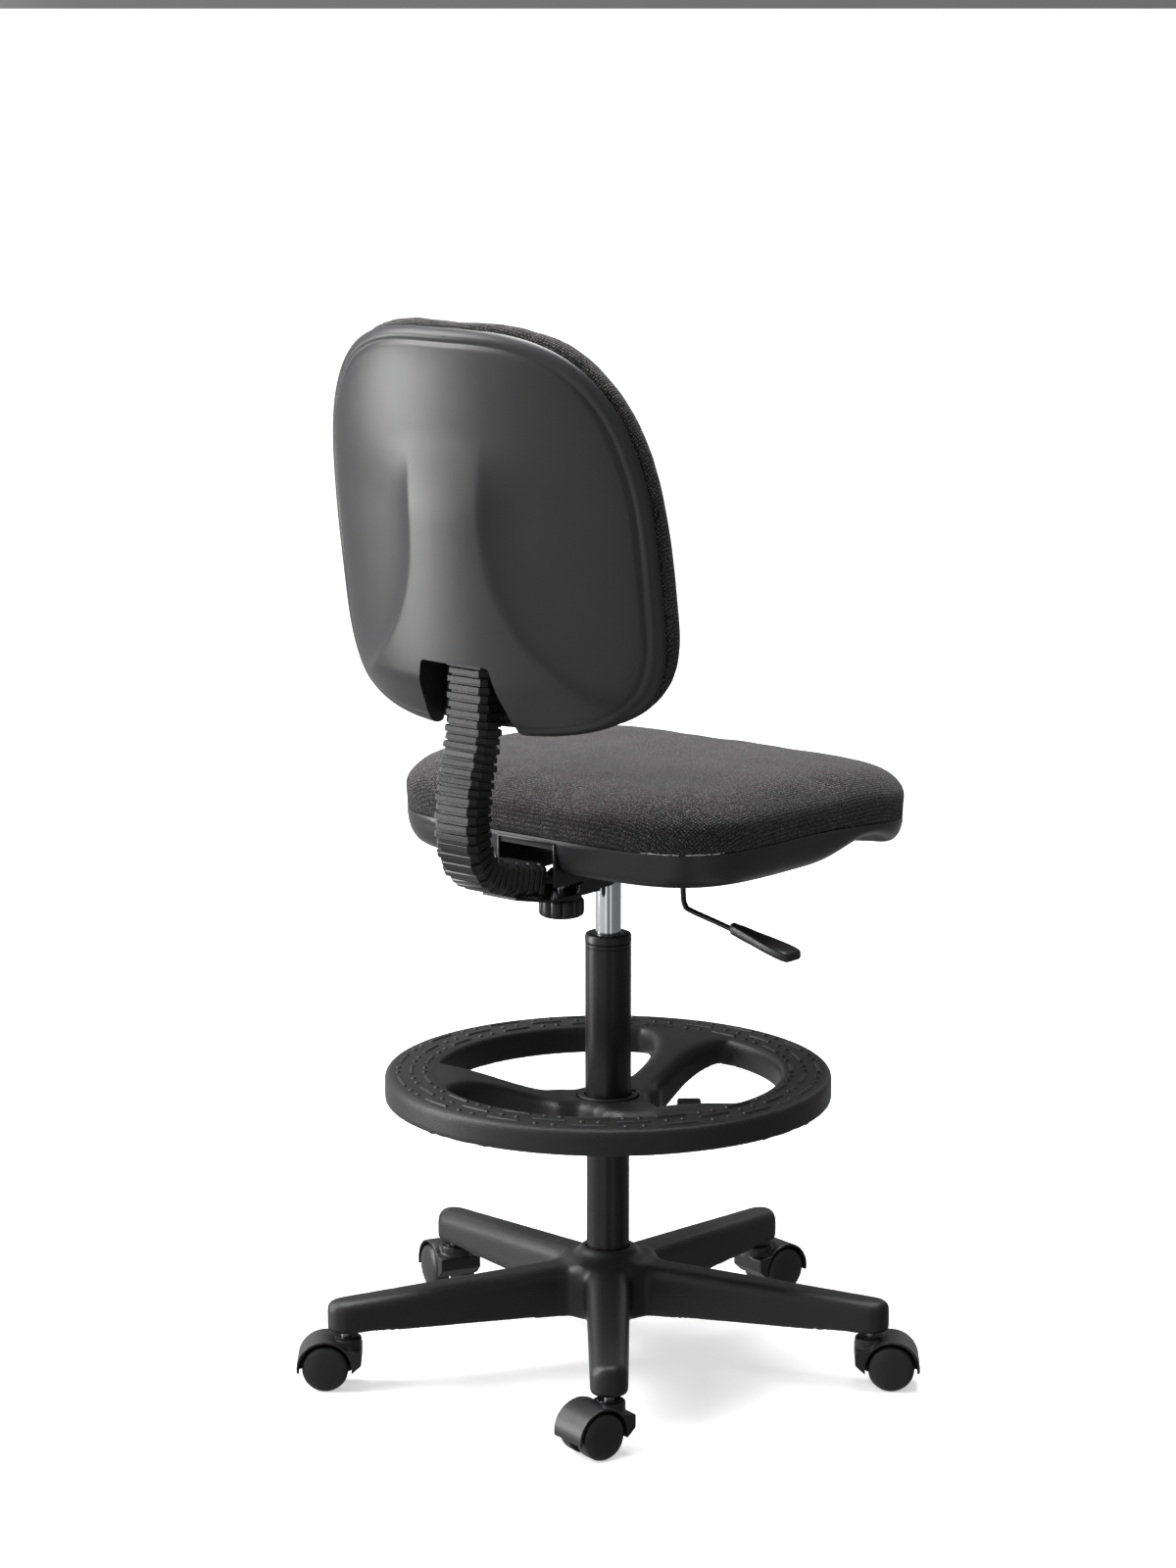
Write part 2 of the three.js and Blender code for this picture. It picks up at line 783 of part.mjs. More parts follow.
function leverRod() {
  const { z, hingeX, dropX, elbowZ, tipX, tipZ, radius } = lever;
  const points = [
    new THREE.Vector3(4, 0, z + 0.6),
    new THREE.Vector3(hingeX, 0, z + 0.6),
    new THREE.Vector3(dropX + 12, 0, z),
    new THREE.Vector3(dropX, 0, z - 12),
    new THREE.Vector3(dropX - 3, 0, elbowZ + 8),
    new THREE.Vector3(dropX - 10, 0, elbowZ - 2),
    new THREE.Vector3(tipX - 16, 0, tipZ - 5),
  ];
  return tube(points, radius, 14, 8);
}

function leverPaddle() {
  const { inner, outer, innerZ, outerZ, width, thickness } = paddle;
  const length = inner - outer;
  const shares = [0, 0.12, 0.45, 0.8, 0.94, 1];
  const widths = [0.42, 0.5, 0.62, 1, 1, 0.8];
  const rows = shares.map((share, i) => {
    const [x, z] = [inner - length * share, between(innerZ, outerZ, share)];
    const thick = between(1.15, 0.85, share) * thickness;
    const section = roundedRectangle(width * widths[i], -thick / 2, thick / 2, 3, 2, 1);
    return section.map(([across, up]) => new THREE.Vector3(x, across, z + up));
  });
  const bore = tube(
    [
      new THREE.Vector3(lever.dropX - 10, 0, lever.elbowZ - 2),
      new THREE.Vector3(lever.tipX - 17, 0, lever.tipZ - 5.3),
    ],
    lever.radius + gap,
    2,
    8,
  );
  return cut(loft(rows), bore);
}

// ---- seat -----------------------------------------------------------------------------------

// Rounded-rectangle outline point at a share of the full size, angle by angle.
function outlinePoint(turn, halfWidth, halfDepth, power) {
  const [c, s] = [Math.cos(turn), Math.sin(turn)];
  const reach = (Math.abs(c) ** power + Math.abs(s) ** power) ** (-1 / power);
  return [halfWidth * c * reach, halfDepth * s * reach];
}

const seatRear = seat.centreY + seat.depth / 2;

// The seam between shell and cushion is level behind and drops towards the front.
function seamZ(y) {
  const ahead = Math.max(0, (seatRear - 190 - y) / (seat.depth - 190));
  return seat.seam - seat.frontDrop * ahead ** 1.5;
}

// A pillow-like body between two height functions over the same outline.
function disc(halfWidth, halfDepth, rings, lower, upper, upperRings = rings) {
  const around = 32;
  const skin = (shares, height) => shares.map((share) =>
    Array.from({ length: around }, (_, i) => {
      const turn = (i / around) * 2 * Math.PI;
      const [x, y] = outlinePoint(turn, halfWidth * share, halfDepth * share, seat.power);
      return new THREE.Vector3(x, y + seat.centreY, height(x, y + seat.centreY, share));
    }),
  );
  return loft([...skin(rings, lower), ...skin(upperRings, upper).reverse()]);
}

function shellHeight(x, y, share) {
  const rimShare = 1 - seat.shellInset / (seat.width / 2);
  const depthHere = seat.shellDepth - 10 * Math.max(0, (seamZ(y) - seat.seam) / -seat.frontDrop);
  const rise = Math.max(0, (share - rimShare) / (1 - rimShare));
  return seamZ(y) - depthHere * (1 - rise ** 1.7);
}

function seatShell() {
  const [halfWidth, halfDepth] = [seat.width / 2 - seat.shellMargin, seat.depth / 2 - seat.shellMargin];
  const rim = (share) => 1 - share / halfWidth;
  const outerRings = [0.5, rim(seat.shellInset), rim(22), rim(8), 1];
  const innerRings = outerRings.map((share) => share * rim(seat.shellWall));
  const outer = disc(halfWidth, halfDepth, outerRings, shellHeight, (x, y) => seamZ(y) - gap);
  const inner = disc(
    halfWidth,
    halfDepth,
    innerRings,
    (x, y, share) => shellHeight(x, y, share / rim(seat.shellWall)) + seat.shellWall,
    (x, y) => seamZ(y) + 20,
  );
  const notchDepth = 130;
  const notch = box(seat.notchWidth, notchDepth, 80, 0, seatRear - notchDepth / 2 + 10, seat.notchTop - 40);
  const opening = box(plate.width + 76, plate.length + 12, 60, 0, 0, seat.seam - seat.shellDepth);
  return cut(cut(outer, inner), notch, opening);
}

const boardBottom = plate.z + plate.thickness + 20;

// The board's outline, and the cushion's recess for it, which is the same outline grown by the gap.
function boardOutline(grow) {
  const outline = new THREE.Shape();
  const around = 28;
  const halfWidth = seat.width / 2 - seat.boardInset + grow;
  const halfDepth = seat.depth / 2 - seat.boardInset - seat.boardShort / 2 + grow;
  for (let i = 0; i < around; i += 1) {
    const [x, y] = outlinePoint((i / around) * 2 * Math.PI, halfWidth, halfDepth, seat.power);
    outline[i === 0 ? "moveTo" : "lineTo"](x, y + seat.centreY + seat.boardShort / 2 - 2);
  }
  return outline;
}

function seatBoard() {
  const depth = seat.boardThickness;
  const sheet = new THREE.ExtrudeGeometry(boardOutline(0), { depth, bevelEnabled: false });
  const bolts = boltPlaces().map(([x, y]) => rod(3 + gap, 500, 700, 10).translate(x, y, 0));
  return cut(sheet.translate(0, 0, boardBottom), ...bolts);
}

function cushionTop(x, y, share) {
  const edge = Math.max(0, 1 - share ** 6) ** 0.5;
  const low = seat.bulgeHeight;
  const across = x / (seat.width / 2);
  const along = (y - seat.centreY) / (seat.depth / 2);
  const dish = 7 * (1 - across * across) * (1 - along * along);
  const slope = 8 * Math.max(0, -along) ** 2;
  return seamZ(y) + low + (seat.cushionHeight - low - dish - slope) * edge;
}

function seatCushion() {
  const rings = [0.35, 0.7, 0.88, 0.96, 1];
  const [halfWidth, halfDepth] = [seat.width / 2, seat.depth / 2];
  const under = [0.5, 1 - seat.shellMargin / halfWidth];
  const pad = disc(halfWidth, halfDepth, under, (x, y) => seamZ(y), cushionTop, rings);
  const recess = seatBoardRecess();
  return cut(pad, recess);
}

function seatBoardRecess() {
  const start = plate.z - 80;
  const depth = boardBottom + seat.boardThickness + gap - start;
  return new THREE.ExtrudeGeometry(boardOutline(gap), { depth, bevelEnabled: false }).translate(0, 0, start);
}

function seatBolt() {
  return join(
    rod(3, plate.z - 4, boardBottom + seat.boardThickness - 1, 10),
    rod(6, plate.z - 4.5, plate.z - gap, 6),
  );
}

// ---- backrest -------------------------------------------------------------------------------

// Its own frame: X across, Z up along the recline, +Y to the rear; Y = 0 is the seam at the middle.
const wrap = (x) => -(x * x) / (2 * back.wrapRadius);
const halfHeight = (back.above + back.below) / 2;

// Widest below the middle, so the upper half is the taller one.
function backOutline(turn, share) {
  const [tall, power] = Math.sin(turn) >= 0 ? [back.above, back.powerAbove] : [back.below, back.powerBelow];
  const [x, z] = outlinePoint(turn, (back.width / 2) * share, tall * share, power);
  return [x, z + back.widestZ];
}

function backDisc(rings, front, rear, around = 36) {
  const skin = (depth) => rings.map((share) =>
    Array.from({ length: around }, (_, i) => {
      const [x, z] = backOutline((i / around) * 2 * Math.PI, share);
      return new THREE.Vector3(x, depth(x, z, share), z);
    }),
  );
  return loft([...skin(front), ...skin(rear).reverse()]);
}

function shellBulge(x, z, share) {
  const edge = Math.max(0, 1 - share ** 5) ** 0.5;
  const down = Math.min(Math.max((0.42 - z / halfHeight) / 1.3, 0), 1);
  const width = back.spineWidth * (0.7 + 0.9 * down ** 2);
  const ridge = Math.exp(-((Math.abs(x) / width) ** 3));
  const swell = back.rimDepth * (1 - share ** 12) + back.crown * edge;
  return wrap(x) + swell + back.spine * ridge * down ** 0.8 * edge ** 0.5;
}

function backShell() {
  const rings = [0.03, 0.16, 0.38, 0.6, 0.8, 0.93, 1];
  const shrink = 1 - back.shellWall / (back.width / 2);
  const outer = backDisc(rings, (x) => wrap(x) + gap, shellBulge);
  const inner = backDisc(
    rings.map((share) => share * shrink),
    (x) => wrap(x) - 20,
    (x, z, share) => shellBulge(x, z, share / shrink) - back.shellWall * 1.05,
  );
  const slotHeight = 200;
  const low = back.slotTop - back.z - slotHeight / 2;
  const slot = box(back.slotWidth, 90, slotHeight, 0, 66, low - 2);
  const mouth = box(bellows.width + 12, 120, 100, 0, 20, -halfHeight - 20);
  return cut(cut(outer, inner), slot, mouth);
}

function backBoard() {
  const share = 1 - back.boardInset / (back.width / 2);
  const rings = [0.12, 0.5, 0.85, 1].map((ringShare) => ringShare * share);
  const rear = (x) => wrap(x) - back.boardSink;
  return backDisc(rings, (x) => rear(x) - back.boardThickness, rear, 26);
}

function backCushion() {
  const rings = [0.15, 0.5, 0.8, 0.95, 1];
  const front = (x, z, share) => {
    const edge = Math.max(0, 1 - share ** 6) ** 0.5;
    const lumbar = 6 * Math.exp(-(((z + 70) / 90) ** 2));
    return wrap(x) - 3 - (back.cushionThickness - 6 + lumbar) * edge;
  };
  const pad = backDisc(rings, front, (x) => wrap(x) - gap, 34);
  const share = 1 - (back.boardInset - 1) / (back.width / 2);
  const recessRings = [0.12, 0.5, 0.85, 1].map((ringShare) => ringShare * share);
  const floor = (x) => wrap(x) - back.boardSink - back.boardThickness - gap;
  const recess = backDisc(recessRings, floor, (x) => wrap(x) + 20, 26);
  return cut(pad, recess);
}

// The carrier slides on the upper bar, so it is drawn about the bar's own line.
function backCarrier() {
  const lean = back.recline * degree;
  const barY = (bar.y - back.y) * Math.cos(lean) - (bar.bendZ - back.z) * Math.sin(lean);
  const low = -back.boardSink + gap;
  const depth = barY - low + bar.thickness / 2 + 7;
  const [width, height, z] = [back.slotWidth - 22, 66, -40];
  const body = box(width, depth, height, 0, low + depth / 2, z);
  const channel = box(bar.width + 2 * running, bar.thickness + 2 * running, height + 10, 0, barY, z);
  return cut(body, channel);
}

// ---- the chair ------------------------------------------------------------------------------

function chair() {
  const group = new THREE.Group();
  group.add(piece("star_base", starBase(), "nylon"));
  group.add(piece("stand_tube", standTube(), "blackSteel"));
  group.add(piece("guide_bush", guideBush(), "nylon"));
  group.add(piece("piston_rod", pistonRod(), "chrome"));
  const bearing = collar(lift.rodRadius - 1 + gap, 16, column.bottom + 3 + gap, bearingTop);
  group.add(piece("thrust_bearing", bearing, "steel"));
  const buffer = collar(lift.rodRadius + gap, 12, bearingTop + 2 * gap, bearingTop + 18);
  group.add(piece("bump_rubber", buffer, "rubber"));
  const clip = collar(lift.rodRadius - 1 + gap, 9, column.bottom - 3, column.bottom - gap, 16);
  group.add(piece("rod_clip", clip, "steel"));
  group.add(piece("gas_cylinder", gasCylinder(), "chrome"));
  group.add(piece("valve_pin", rod(3, lift.top - 20, plate.z + 3.8, 12), "steel"));

  for (let number = 1; number <= base.arms; number += 1) group.add(casterGroup(number));

  group.add(piece("foot_ring", footRing(), "nylon"));
  group.add(piece("ring_sleeve", ringSleeve(), "nylon"));
  const ringLock = new THREE.Group();
  ringLock.position.z = ring.knobHeight;
  ringLock.rotation.z = ring.knobAngle * degree;
  ringLock.add(piece("ring_lock_knob", ringKnob(), "nylon"), piece("ring_lock_stud", ringStud(), "steel"));
  group.add(ringLock);

  group.add(piece("taper_socket", taperSocket(), "blackSteel"));
  group.add(piece("seat_plate", seatPlate(), "blackSteel"));
  group.add(piece("lever_rod", leverRod(), "blackSteel"));
  group.add(piece("lever_paddle", leverPaddle(), "nylon"));
  group.add(piece("tilt_bracket", tiltBracket(), "blackSteel"));
  const pinEnd = lugInside + bracket.sheet + pivot.overhang;
  const pin = rod(pivot.radius, -pinEnd, pinEnd, 14).rotateY(Math.PI / 2);
  group.add(piece("pivot_pin", pin.translate(0, pivot.y, pivot.z), "steel"));
  group.add(piece("tilt_spring", tiltSpring(), "steel"));
  group.add(piece("bar_knob", barKnob(), "nylon"));
  group.add(piece("bar_stud", barStud(), "steel"));
  group.add(piece("back_bar", strip(barLine(), bar.width, bar.thickness), "blackSteel"));
  group.add(piece("bellows", bellowsBody(), "rubber"));

  group.add(piece("seat_shell", seatShell(), "shell"));
  group.add(piece("seat_board", seatBoard(), "plywood"));
  group.add(piece("seat_cushion", seatCushion(), "fabric"));
  boltPlaces().forEach(([x, y], i) => {
    const bolt = piece(`seat_bolt_${i + 1}`, seatBolt(), "steel");
    bolt.position.set(x, y, 0);
    group.add(bolt);
  });

  const backrest = new THREE.Group();
  backrest.position.set(0, back.y, back.z);
  backrest.rotation.x = -back.recline * degree;
  backrest.add(piece("back_shell", backShell(), "shell"));
  backrest.add(piece("back_board", backBoard(), "nylon"));
  backrest.add(piece("back_cushion", backCushion(), "fabric"));
  backrest.add(piece("back_carrier", backCarrier(), "nylon"));
  group.add(backrest);
  group.position.set(...columnPlace, 0);
  return group;
}

export default chair();
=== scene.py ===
# Drafting chair: the looks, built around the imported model.
import math
import bmesh
import bpy
from mathutils import Matrix, Vector, noise


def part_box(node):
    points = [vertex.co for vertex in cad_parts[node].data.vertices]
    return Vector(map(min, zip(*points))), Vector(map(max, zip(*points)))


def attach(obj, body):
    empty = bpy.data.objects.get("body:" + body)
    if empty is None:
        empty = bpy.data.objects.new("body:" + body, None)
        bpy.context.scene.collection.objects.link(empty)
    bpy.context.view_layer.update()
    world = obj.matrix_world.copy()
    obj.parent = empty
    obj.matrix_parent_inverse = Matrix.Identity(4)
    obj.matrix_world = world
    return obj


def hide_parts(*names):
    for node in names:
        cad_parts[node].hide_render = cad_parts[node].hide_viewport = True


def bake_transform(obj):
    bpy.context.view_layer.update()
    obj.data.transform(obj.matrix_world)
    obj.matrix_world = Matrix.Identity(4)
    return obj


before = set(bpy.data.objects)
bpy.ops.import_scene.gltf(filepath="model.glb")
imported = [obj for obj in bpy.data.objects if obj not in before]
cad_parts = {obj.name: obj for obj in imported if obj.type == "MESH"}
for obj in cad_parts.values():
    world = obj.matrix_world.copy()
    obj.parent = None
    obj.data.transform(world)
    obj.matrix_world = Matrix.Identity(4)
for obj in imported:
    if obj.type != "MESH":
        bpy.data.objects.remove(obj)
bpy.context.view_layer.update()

tubeLow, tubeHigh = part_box("stand_tube")
columnX = (tubeLow[0] + tubeHigh[0]) / 2
columnY = (tubeLow[1] + tubeHigh[1]) / 2
columnPlace = Matrix.Translation((columnX, columnY, 0))  # every piece is drawn about the column's axis


def makeObject(name, points, faces, sharpAngle=35):
    mesh = bpy.data.meshes.new(name)
    mesh.from_pydata([tuple(p) for p in points], [], faces)
    obj = bpy.data.objects.new(name, mesh)
    bpy.context.scene.collection.objects.link(obj)
    tidyNormals(obj, sharpAngle)
    return obj


def tidyNormals(obj, sharpAngle=35):
    shape = bmesh.new()
    shape.from_mesh(obj.data)
    bmesh.ops.remove_doubles(shape, verts=shape.verts, dist=1e-6)
    bmesh.ops.recalc_face_normals(shape, faces=shape.faces)
    shape.to_mesh(obj.data)
    shape.free()
    obj.data.shade_smooth()
    obj.data.set_sharp_from_angle(angle=math.radians(sharpAngle))


# Turns an outline of (radius, height) about Z. An outline that starts off the axis closes on itself.
def lathe(name, outline, sides=64, sharpAngle=35):
    points, rings, faces = [], [], []
    for radius, height in outline:
        if radius < 1e-7:
            rings.append([len(points)] * sides)
            points.append((0, 0, height))
            continue
        rings.append(list(range(len(points), len(points) + sides)))
        for i in range(sides):
            turn = 2 * math.pi * i / sides
            points.append((radius * math.cos(turn), radius * math.sin(turn), height))
    pairs = list(zip(rings, rings[1:]))
    if outline[0][0] > 1e-7:
        pairs.append((rings[-1], rings[0]))
    for a, b in pairs:
        for i in range(sides):
            j = (i + 1) % sides
            corners = [a[i], a[j], b[j], b[i]]
            face = [c for k, c in enumerate(corners) if c not in corners[:k]]
            if len(face) > 2:
                faces.append(face)
    return makeObject(name, points, faces, sharpAngle)


# Skins a list of rings of equal length and closes both ends.
def loft(name, rows, sharpAngle=35):
    points = [p for row in rows for p in row]
    across = len(rows[0])
    faces = []
    for r in range(len(rows) - 1):
        for i in range(across):
            j = (i + 1) % across
            faces.append((r * across + i, r * across + j, (r + 1) * across + j, (r + 1) * across + i))
    faces.append(tuple(range(across)))
    faces.append(tuple((len(rows) - 1) * across + i for i in range(across)))
    return makeObject(name, points, faces, sharpAngle)


# A rectangle with one corner radius at the bottom and another at the top.
def roundedSection(width, low, high, lowRadius, highRadius, steps=4):
    corners = [
        (width / 2, low, lowRadius, -90),
        (width / 2, high, highRadius, 0),
        (-width / 2, high, highRadius, 90),
        (-width / 2, low, lowRadius, 180),
    ]
    section = []
    for x, z, radius, start in corners:
        cx = x - math.copysign(radius, x)
        cz = z + radius if z == low else z - radius
        for i in range(steps + 1):
            turn = math.radians(start + 90 * i / steps)
            section.append((cx + radius * math.cos(turn), cz + radius * math.sin(turn)))
    return section


# A smooth curve through the points.
def smoothLine(points, perSpan=8):
    line = []
    padded = [points[0] * 2 - points[1]] + points + [points[-1] * 2 - points[-2]]
    for i in range(len(points) - 1):
        a, b, c, d = padded[i:i + 4]
        for k in range(perSpan):
            t = k / perSpan
            line.append(0.5 * (2 * b + (c - a) * t + (2 * a - 5 * b + 4 * c - d) * t * t
                               + (3 * b - a - 3 * c + d) * t ** 3))
    line.append(points[-1])
    return line


def sweep(name, line, radius, sides=16, sharpAngle=35):
    rows = []
    normal = None
    for i, point in enumerate(line):
        run = (line[min(i + 1, len(line) - 1)] - line[max(i - 1, 0)]).normalized()
        if normal is None:
            normal = run.orthogonal().normalized()
        normal = (normal - run * normal.dot(run)).normalized()
        side = run.cross(normal)
        rows.append([point + radius * (normal * math.cos(t) + side * math.sin(t))
                     for t in (2 * math.pi * k / sides for k in range(sides))])
    return loft(name, rows, sharpAngle)


def roundedBlock(name, size, place, radius, turn=None):
    rows = []
    half = size[0] / 2
    thin = min(size[1], size[2])
    for x, shrink in ((-half, radius), (-half + radius * 0.3, radius * 0.3), (-half + radius, 0),
                      (half - radius, 0), (half - radius * 0.3, radius * 0.3), (half, radius)):
        corner = min(radius, 0.45 * (thin - 2 * shrink))
        section = roundedSection(size[1] - 2 * shrink, shrink - size[2] / 2, size[2] / 2 - shrink,
                                 corner, corner, 3)
        rows.append([Vector((x, a, b)) for a, b in section])
    obj = loft(name, rows, 50)
    if turn is not None:
        obj.data.transform(turn)
    obj.data.transform(Matrix.Translation(place))
    return obj


def applyModifiers(obj):
    bpy.context.view_layer.update()
    depsgraph = bpy.context.evaluated_depsgraph_get()
    mesh = bpy.data.meshes.new_from_object(obj.evaluated_get(depsgraph))
    obj.modifiers.clear()
    obj.data = mesh


def combine(obj, other, operation):
    step = obj.modifiers.new(operation.lower(), "BOOLEAN")
    step.operation = operation
    step.solver = "EXACT"
    step.object = other
    applyModifiers(obj)
    bpy.data.objects.remove(other, do_unlink=True)


# One even skin over joined solids, with its edges and joints rounded as a moulding's are.
def softenEdges(obj, voxel, rounds, factor=0.5):
    remesh = obj.modifiers.new("remesh", "REMESH")
    remesh.mode = "VOXEL"
    remesh.voxel_size = voxel
    smooth = obj.modifiers.new("smooth", "SMOOTH")
    smooth.factor = factor
    smooth.iterations = rounds
    applyModifiers(obj)
    obj.data.shade_smooth()


def addBevel(obj, width, segments=2):
    bevel = obj.modifiers.new("bevel", "BEVEL")
    bevel.width = width
    bevel.segments = segments
    bevel.limit_method = "ANGLE"
    bevel.angle_limit = math.radians(30)
    bevel.harden_normals = True


def joinObjects(name, parts):
    shape = bmesh.new()
    for part in parts:
        mesh = part.data.copy()
        mesh.transform(part.matrix_world)
        shape.from_mesh(mesh)
        bpy.data.objects.remove(part, do_unlink=True)
    mesh = bpy.data.meshes.new(name)
    shape.to_mesh(mesh)
    shape.free()
    obj = bpy.data.objects.new(name, mesh)
    bpy.context.scene.collection.objects.link(obj)
    mesh.shade_smooth()
    mesh.set_sharp_from_angle(angle=math.radians(35))
    return obj


def smoothstep(low, high, value):
    t = min(max((value - low) / (high - low), 0), 1)
    return t * t * (3 - 2 * t)


# The material and body of a piece, and the solids that it stands for.
def finish(obj, body, slotName, material, *nodes):
    obj.data.materials.clear()
    obj.data.materials.append(material)
    if nodes:
        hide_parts(*nodes)
    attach(obj, body)
    return obj


def nodeGroup(name, inputs, outputs):
    tree = bpy.data.node_groups.new(name, "ShaderNodeTree")
    for socket, kind, value in inputs:
        made = tree.interface.new_socket(name=socket, in_out="INPUT", socket_type=kind)
        made.default_value = value
    for socket, kind in outputs:
        tree.interface.new_socket(name=socket, in_out="OUTPUT", socket_type=kind)
    return tree, tree.nodes.new("NodeGroupInput"), tree.nodes.new("NodeGroupOutput")


def mathNode(tree, operation, a, b=None):
    node = tree.nodes.new("ShaderNodeMath")
    node.operation = operation
    for socket, value in zip(node.inputs, (a, b)):
        if value is None:
            continue
        if hasattr(value, "is_linked"):
            tree.links.new(value, socket)
        else:
            socket.default_value = value
    return node.outputs[0]


def noiseNode(tree, coords, scale, detail=3, roughness=0.5):
    node = tree.nodes.new("ShaderNodeTexNoise")
    node.inputs["Detail"].default_value = detail
    node.inputs["Roughness"].default_value = roughness
    tree.links.new(coords, node.inputs["Vector"])
    if hasattr(scale, "is_linked"):
        tree.links.new(scale, node.inputs["Scale"])
    else:
        node.inputs["Scale"].default_value = scale
    return node.outputs["Fac"]


def rampNode(tree, value, stops):
    node = tree.nodes.new("ShaderNodeValToRGB")
    tree.links.new(value, node.inputs[0])
    ramp = node.color_ramp
    while len(ramp.elements) < len(stops):
        ramp.elements.new(0.5)
    for element, (position, shade) in zip(ramp.elements, stops):
        element.position = position
        element.color = (shade, shade, shade, 1)
    return node.outputs[0]


def grainGroup():
    tree, given, out = nodeGroup(
        "MouldedGrain",
        [("Grain Scale", "NodeSocketFloat", 900.0), ("Patch Scale", "NodeSocketFloat", 14.0)],
        [("Height", "NodeSocketFloat"), ("Patches", "NodeSocketFloat")],
    )
    coords = tree.nodes.new("ShaderNodeTexCoord").outputs["Object"]
    cells = tree.nodes.new("ShaderNodeTexVoronoi")
    cells.feature = "SMOOTH_F1"
    tree.links.new(coords, cells.inputs["Vector"])
    tree.links.new(given.outputs["Grain Scale"], cells.inputs["Scale"])
    fine = noiseNode(tree, coords, mathNode(tree, "MULTIPLY", given.outputs["Grain Scale"], 1.9), 2)
    height = mathNode(tree, "ADD", cells.outputs["Distance"], mathNode(tree, "MULTIPLY", fine, 0.6))
    patches = noiseNode(tree, coords, given.outputs["Patch Scale"], 4, 0.55)
    tree.links.new(height, out.inputs["Height"])
    tree.links.new(patches, out.inputs["Patches"])
    return tree


def wearGroup():
    tree, given, out = nodeGroup(
        "EdgeWear",
        [("Clean", "NodeSocketColor", (0.05, 0.05, 0.05, 1)), ("Worn", "NodeSocketColor", (0.1, 0.1, 0.1, 1)),
         ("Amount", "NodeSocketFloat", 0.5)],
        [("Color", "NodeSocketColor")],
    )
    geometry = tree.nodes.new("ShaderNodeNewGeometry")
    edges = rampNode(tree, geometry.outputs["Pointiness"], [(0.5, 0), (0.62, 1)])
    coords = tree.nodes.new("ShaderNodeTexCoord").outputs["Object"]
    broken = rampNode(tree, noiseNode(tree, coords, 60.0, 5, 0.65), [(0.4, 0), (0.7, 1)])
    amount = mathNode(tree, "MULTIPLY", mathNode(tree, "MULTIPLY", edges, broken), given.outputs["Amount"])
    mix = tree.nodes.new("ShaderNodeMix")
    mix.data_type = "RGBA"
    tree.links.new(amount, mix.inputs["Factor"])
    tree.links.new(given.outputs["Clean"], mix.inputs["A"])
    tree.links.new(given.outputs["Worn"], mix.inputs["B"])
    tree.links.new(mix.outputs["Result"], out.inputs["Color"])
    return tree


def weaveGroup():
    tree, given, out = nodeGroup(
        "WovenCloth",
        [("Yarn Scale", "NodeSocketFloat", 2400.0)],
        [("Height", "NodeSocketFloat"), ("Flecks", "NodeSocketFloat"), ("Mottle", "NodeSocketFloat")],
    )
    coords = tree.nodes.new("ShaderNodeTexCoord").outputs["Object"]
    split = tree.nodes.new("ShaderNodeSeparateXYZ")
    tree.links.new(coords, split.inputs[0])
    x, y, z = split.outputs
    wobble = mathNode(tree, "MULTIPLY", noiseNode(tree, coords, 240.0, 2), 0.0014)
    warp = mathNode(tree, "ADD", mathNode(tree, "ADD", x, mathNode(tree, "MULTIPLY", z, 0.75)), wobble)
    weft = mathNode(tree, "ADD", mathNode(tree, "SUBTRACT", y, mathNode(tree, "MULTIPLY", z, 0.66)), wobble)
    rising = mathNode(tree, "MULTIPLY", mathNode(tree, "ADD", warp, weft), given.outputs["Yarn Scale"])
    falling = mathNode(tree, "MULTIPLY", mathNode(tree, "SUBTRACT", warp, weft), given.outputs["Yarn Scale"])
    one, two = mathNode(tree, "SINE", rising), mathNode(tree, "SINE", falling)
    yarns = mathNode(tree, "ADD", mathNode(tree, "MULTIPLY", mathNode(tree, "MULTIPLY", one, two), 0.5), 0.5)
    fleckNoise = noiseNode(tree, coords, 950.0, 2, 0.6)
    flecks = mathNode(tree, "MULTIPLY", rampNode(tree, fleckNoise, [(0.48, 0), (0.66, 1)]), yarns)
    height = mathNode(tree, "ADD", yarns, mathNode(tree, "MULTIPLY", fleckNoise, 0.7))
    tree.links.new(height, out.inputs["Height"])
    tree.links.new(flecks, out.inputs["Flecks"])
    tree.links.new(noiseNode(tree, coords, 9.0, 4, 0.6), out.inputs["Mottle"])
    return tree


groups = {"grain": grainGroup(), "wear": wearGroup(), "weave": weaveGroup()}


def newMaterial(name, roughness, metallic=0.0):
    material = bpy.data.materials.new(name)
    material.use_nodes = True
    tree = material.node_tree
    shader = tree.nodes["Principled BSDF"]
    shader.inputs["Roughness"].default_value = roughness
    shader.inputs["Metallic"].default_value = metallic
    return material, tree, shader


def addGroup(tree, key, **values):
    node = tree.nodes.new("ShaderNodeGroup")
    node.node_tree = groups[key]
    for socket, value in values.items():
        node.inputs[socket.replace("_", " ")].default_value = value
    return node


def grey(value, blue=1.08):
    return (value, value * 0.985, value * blue, 1)


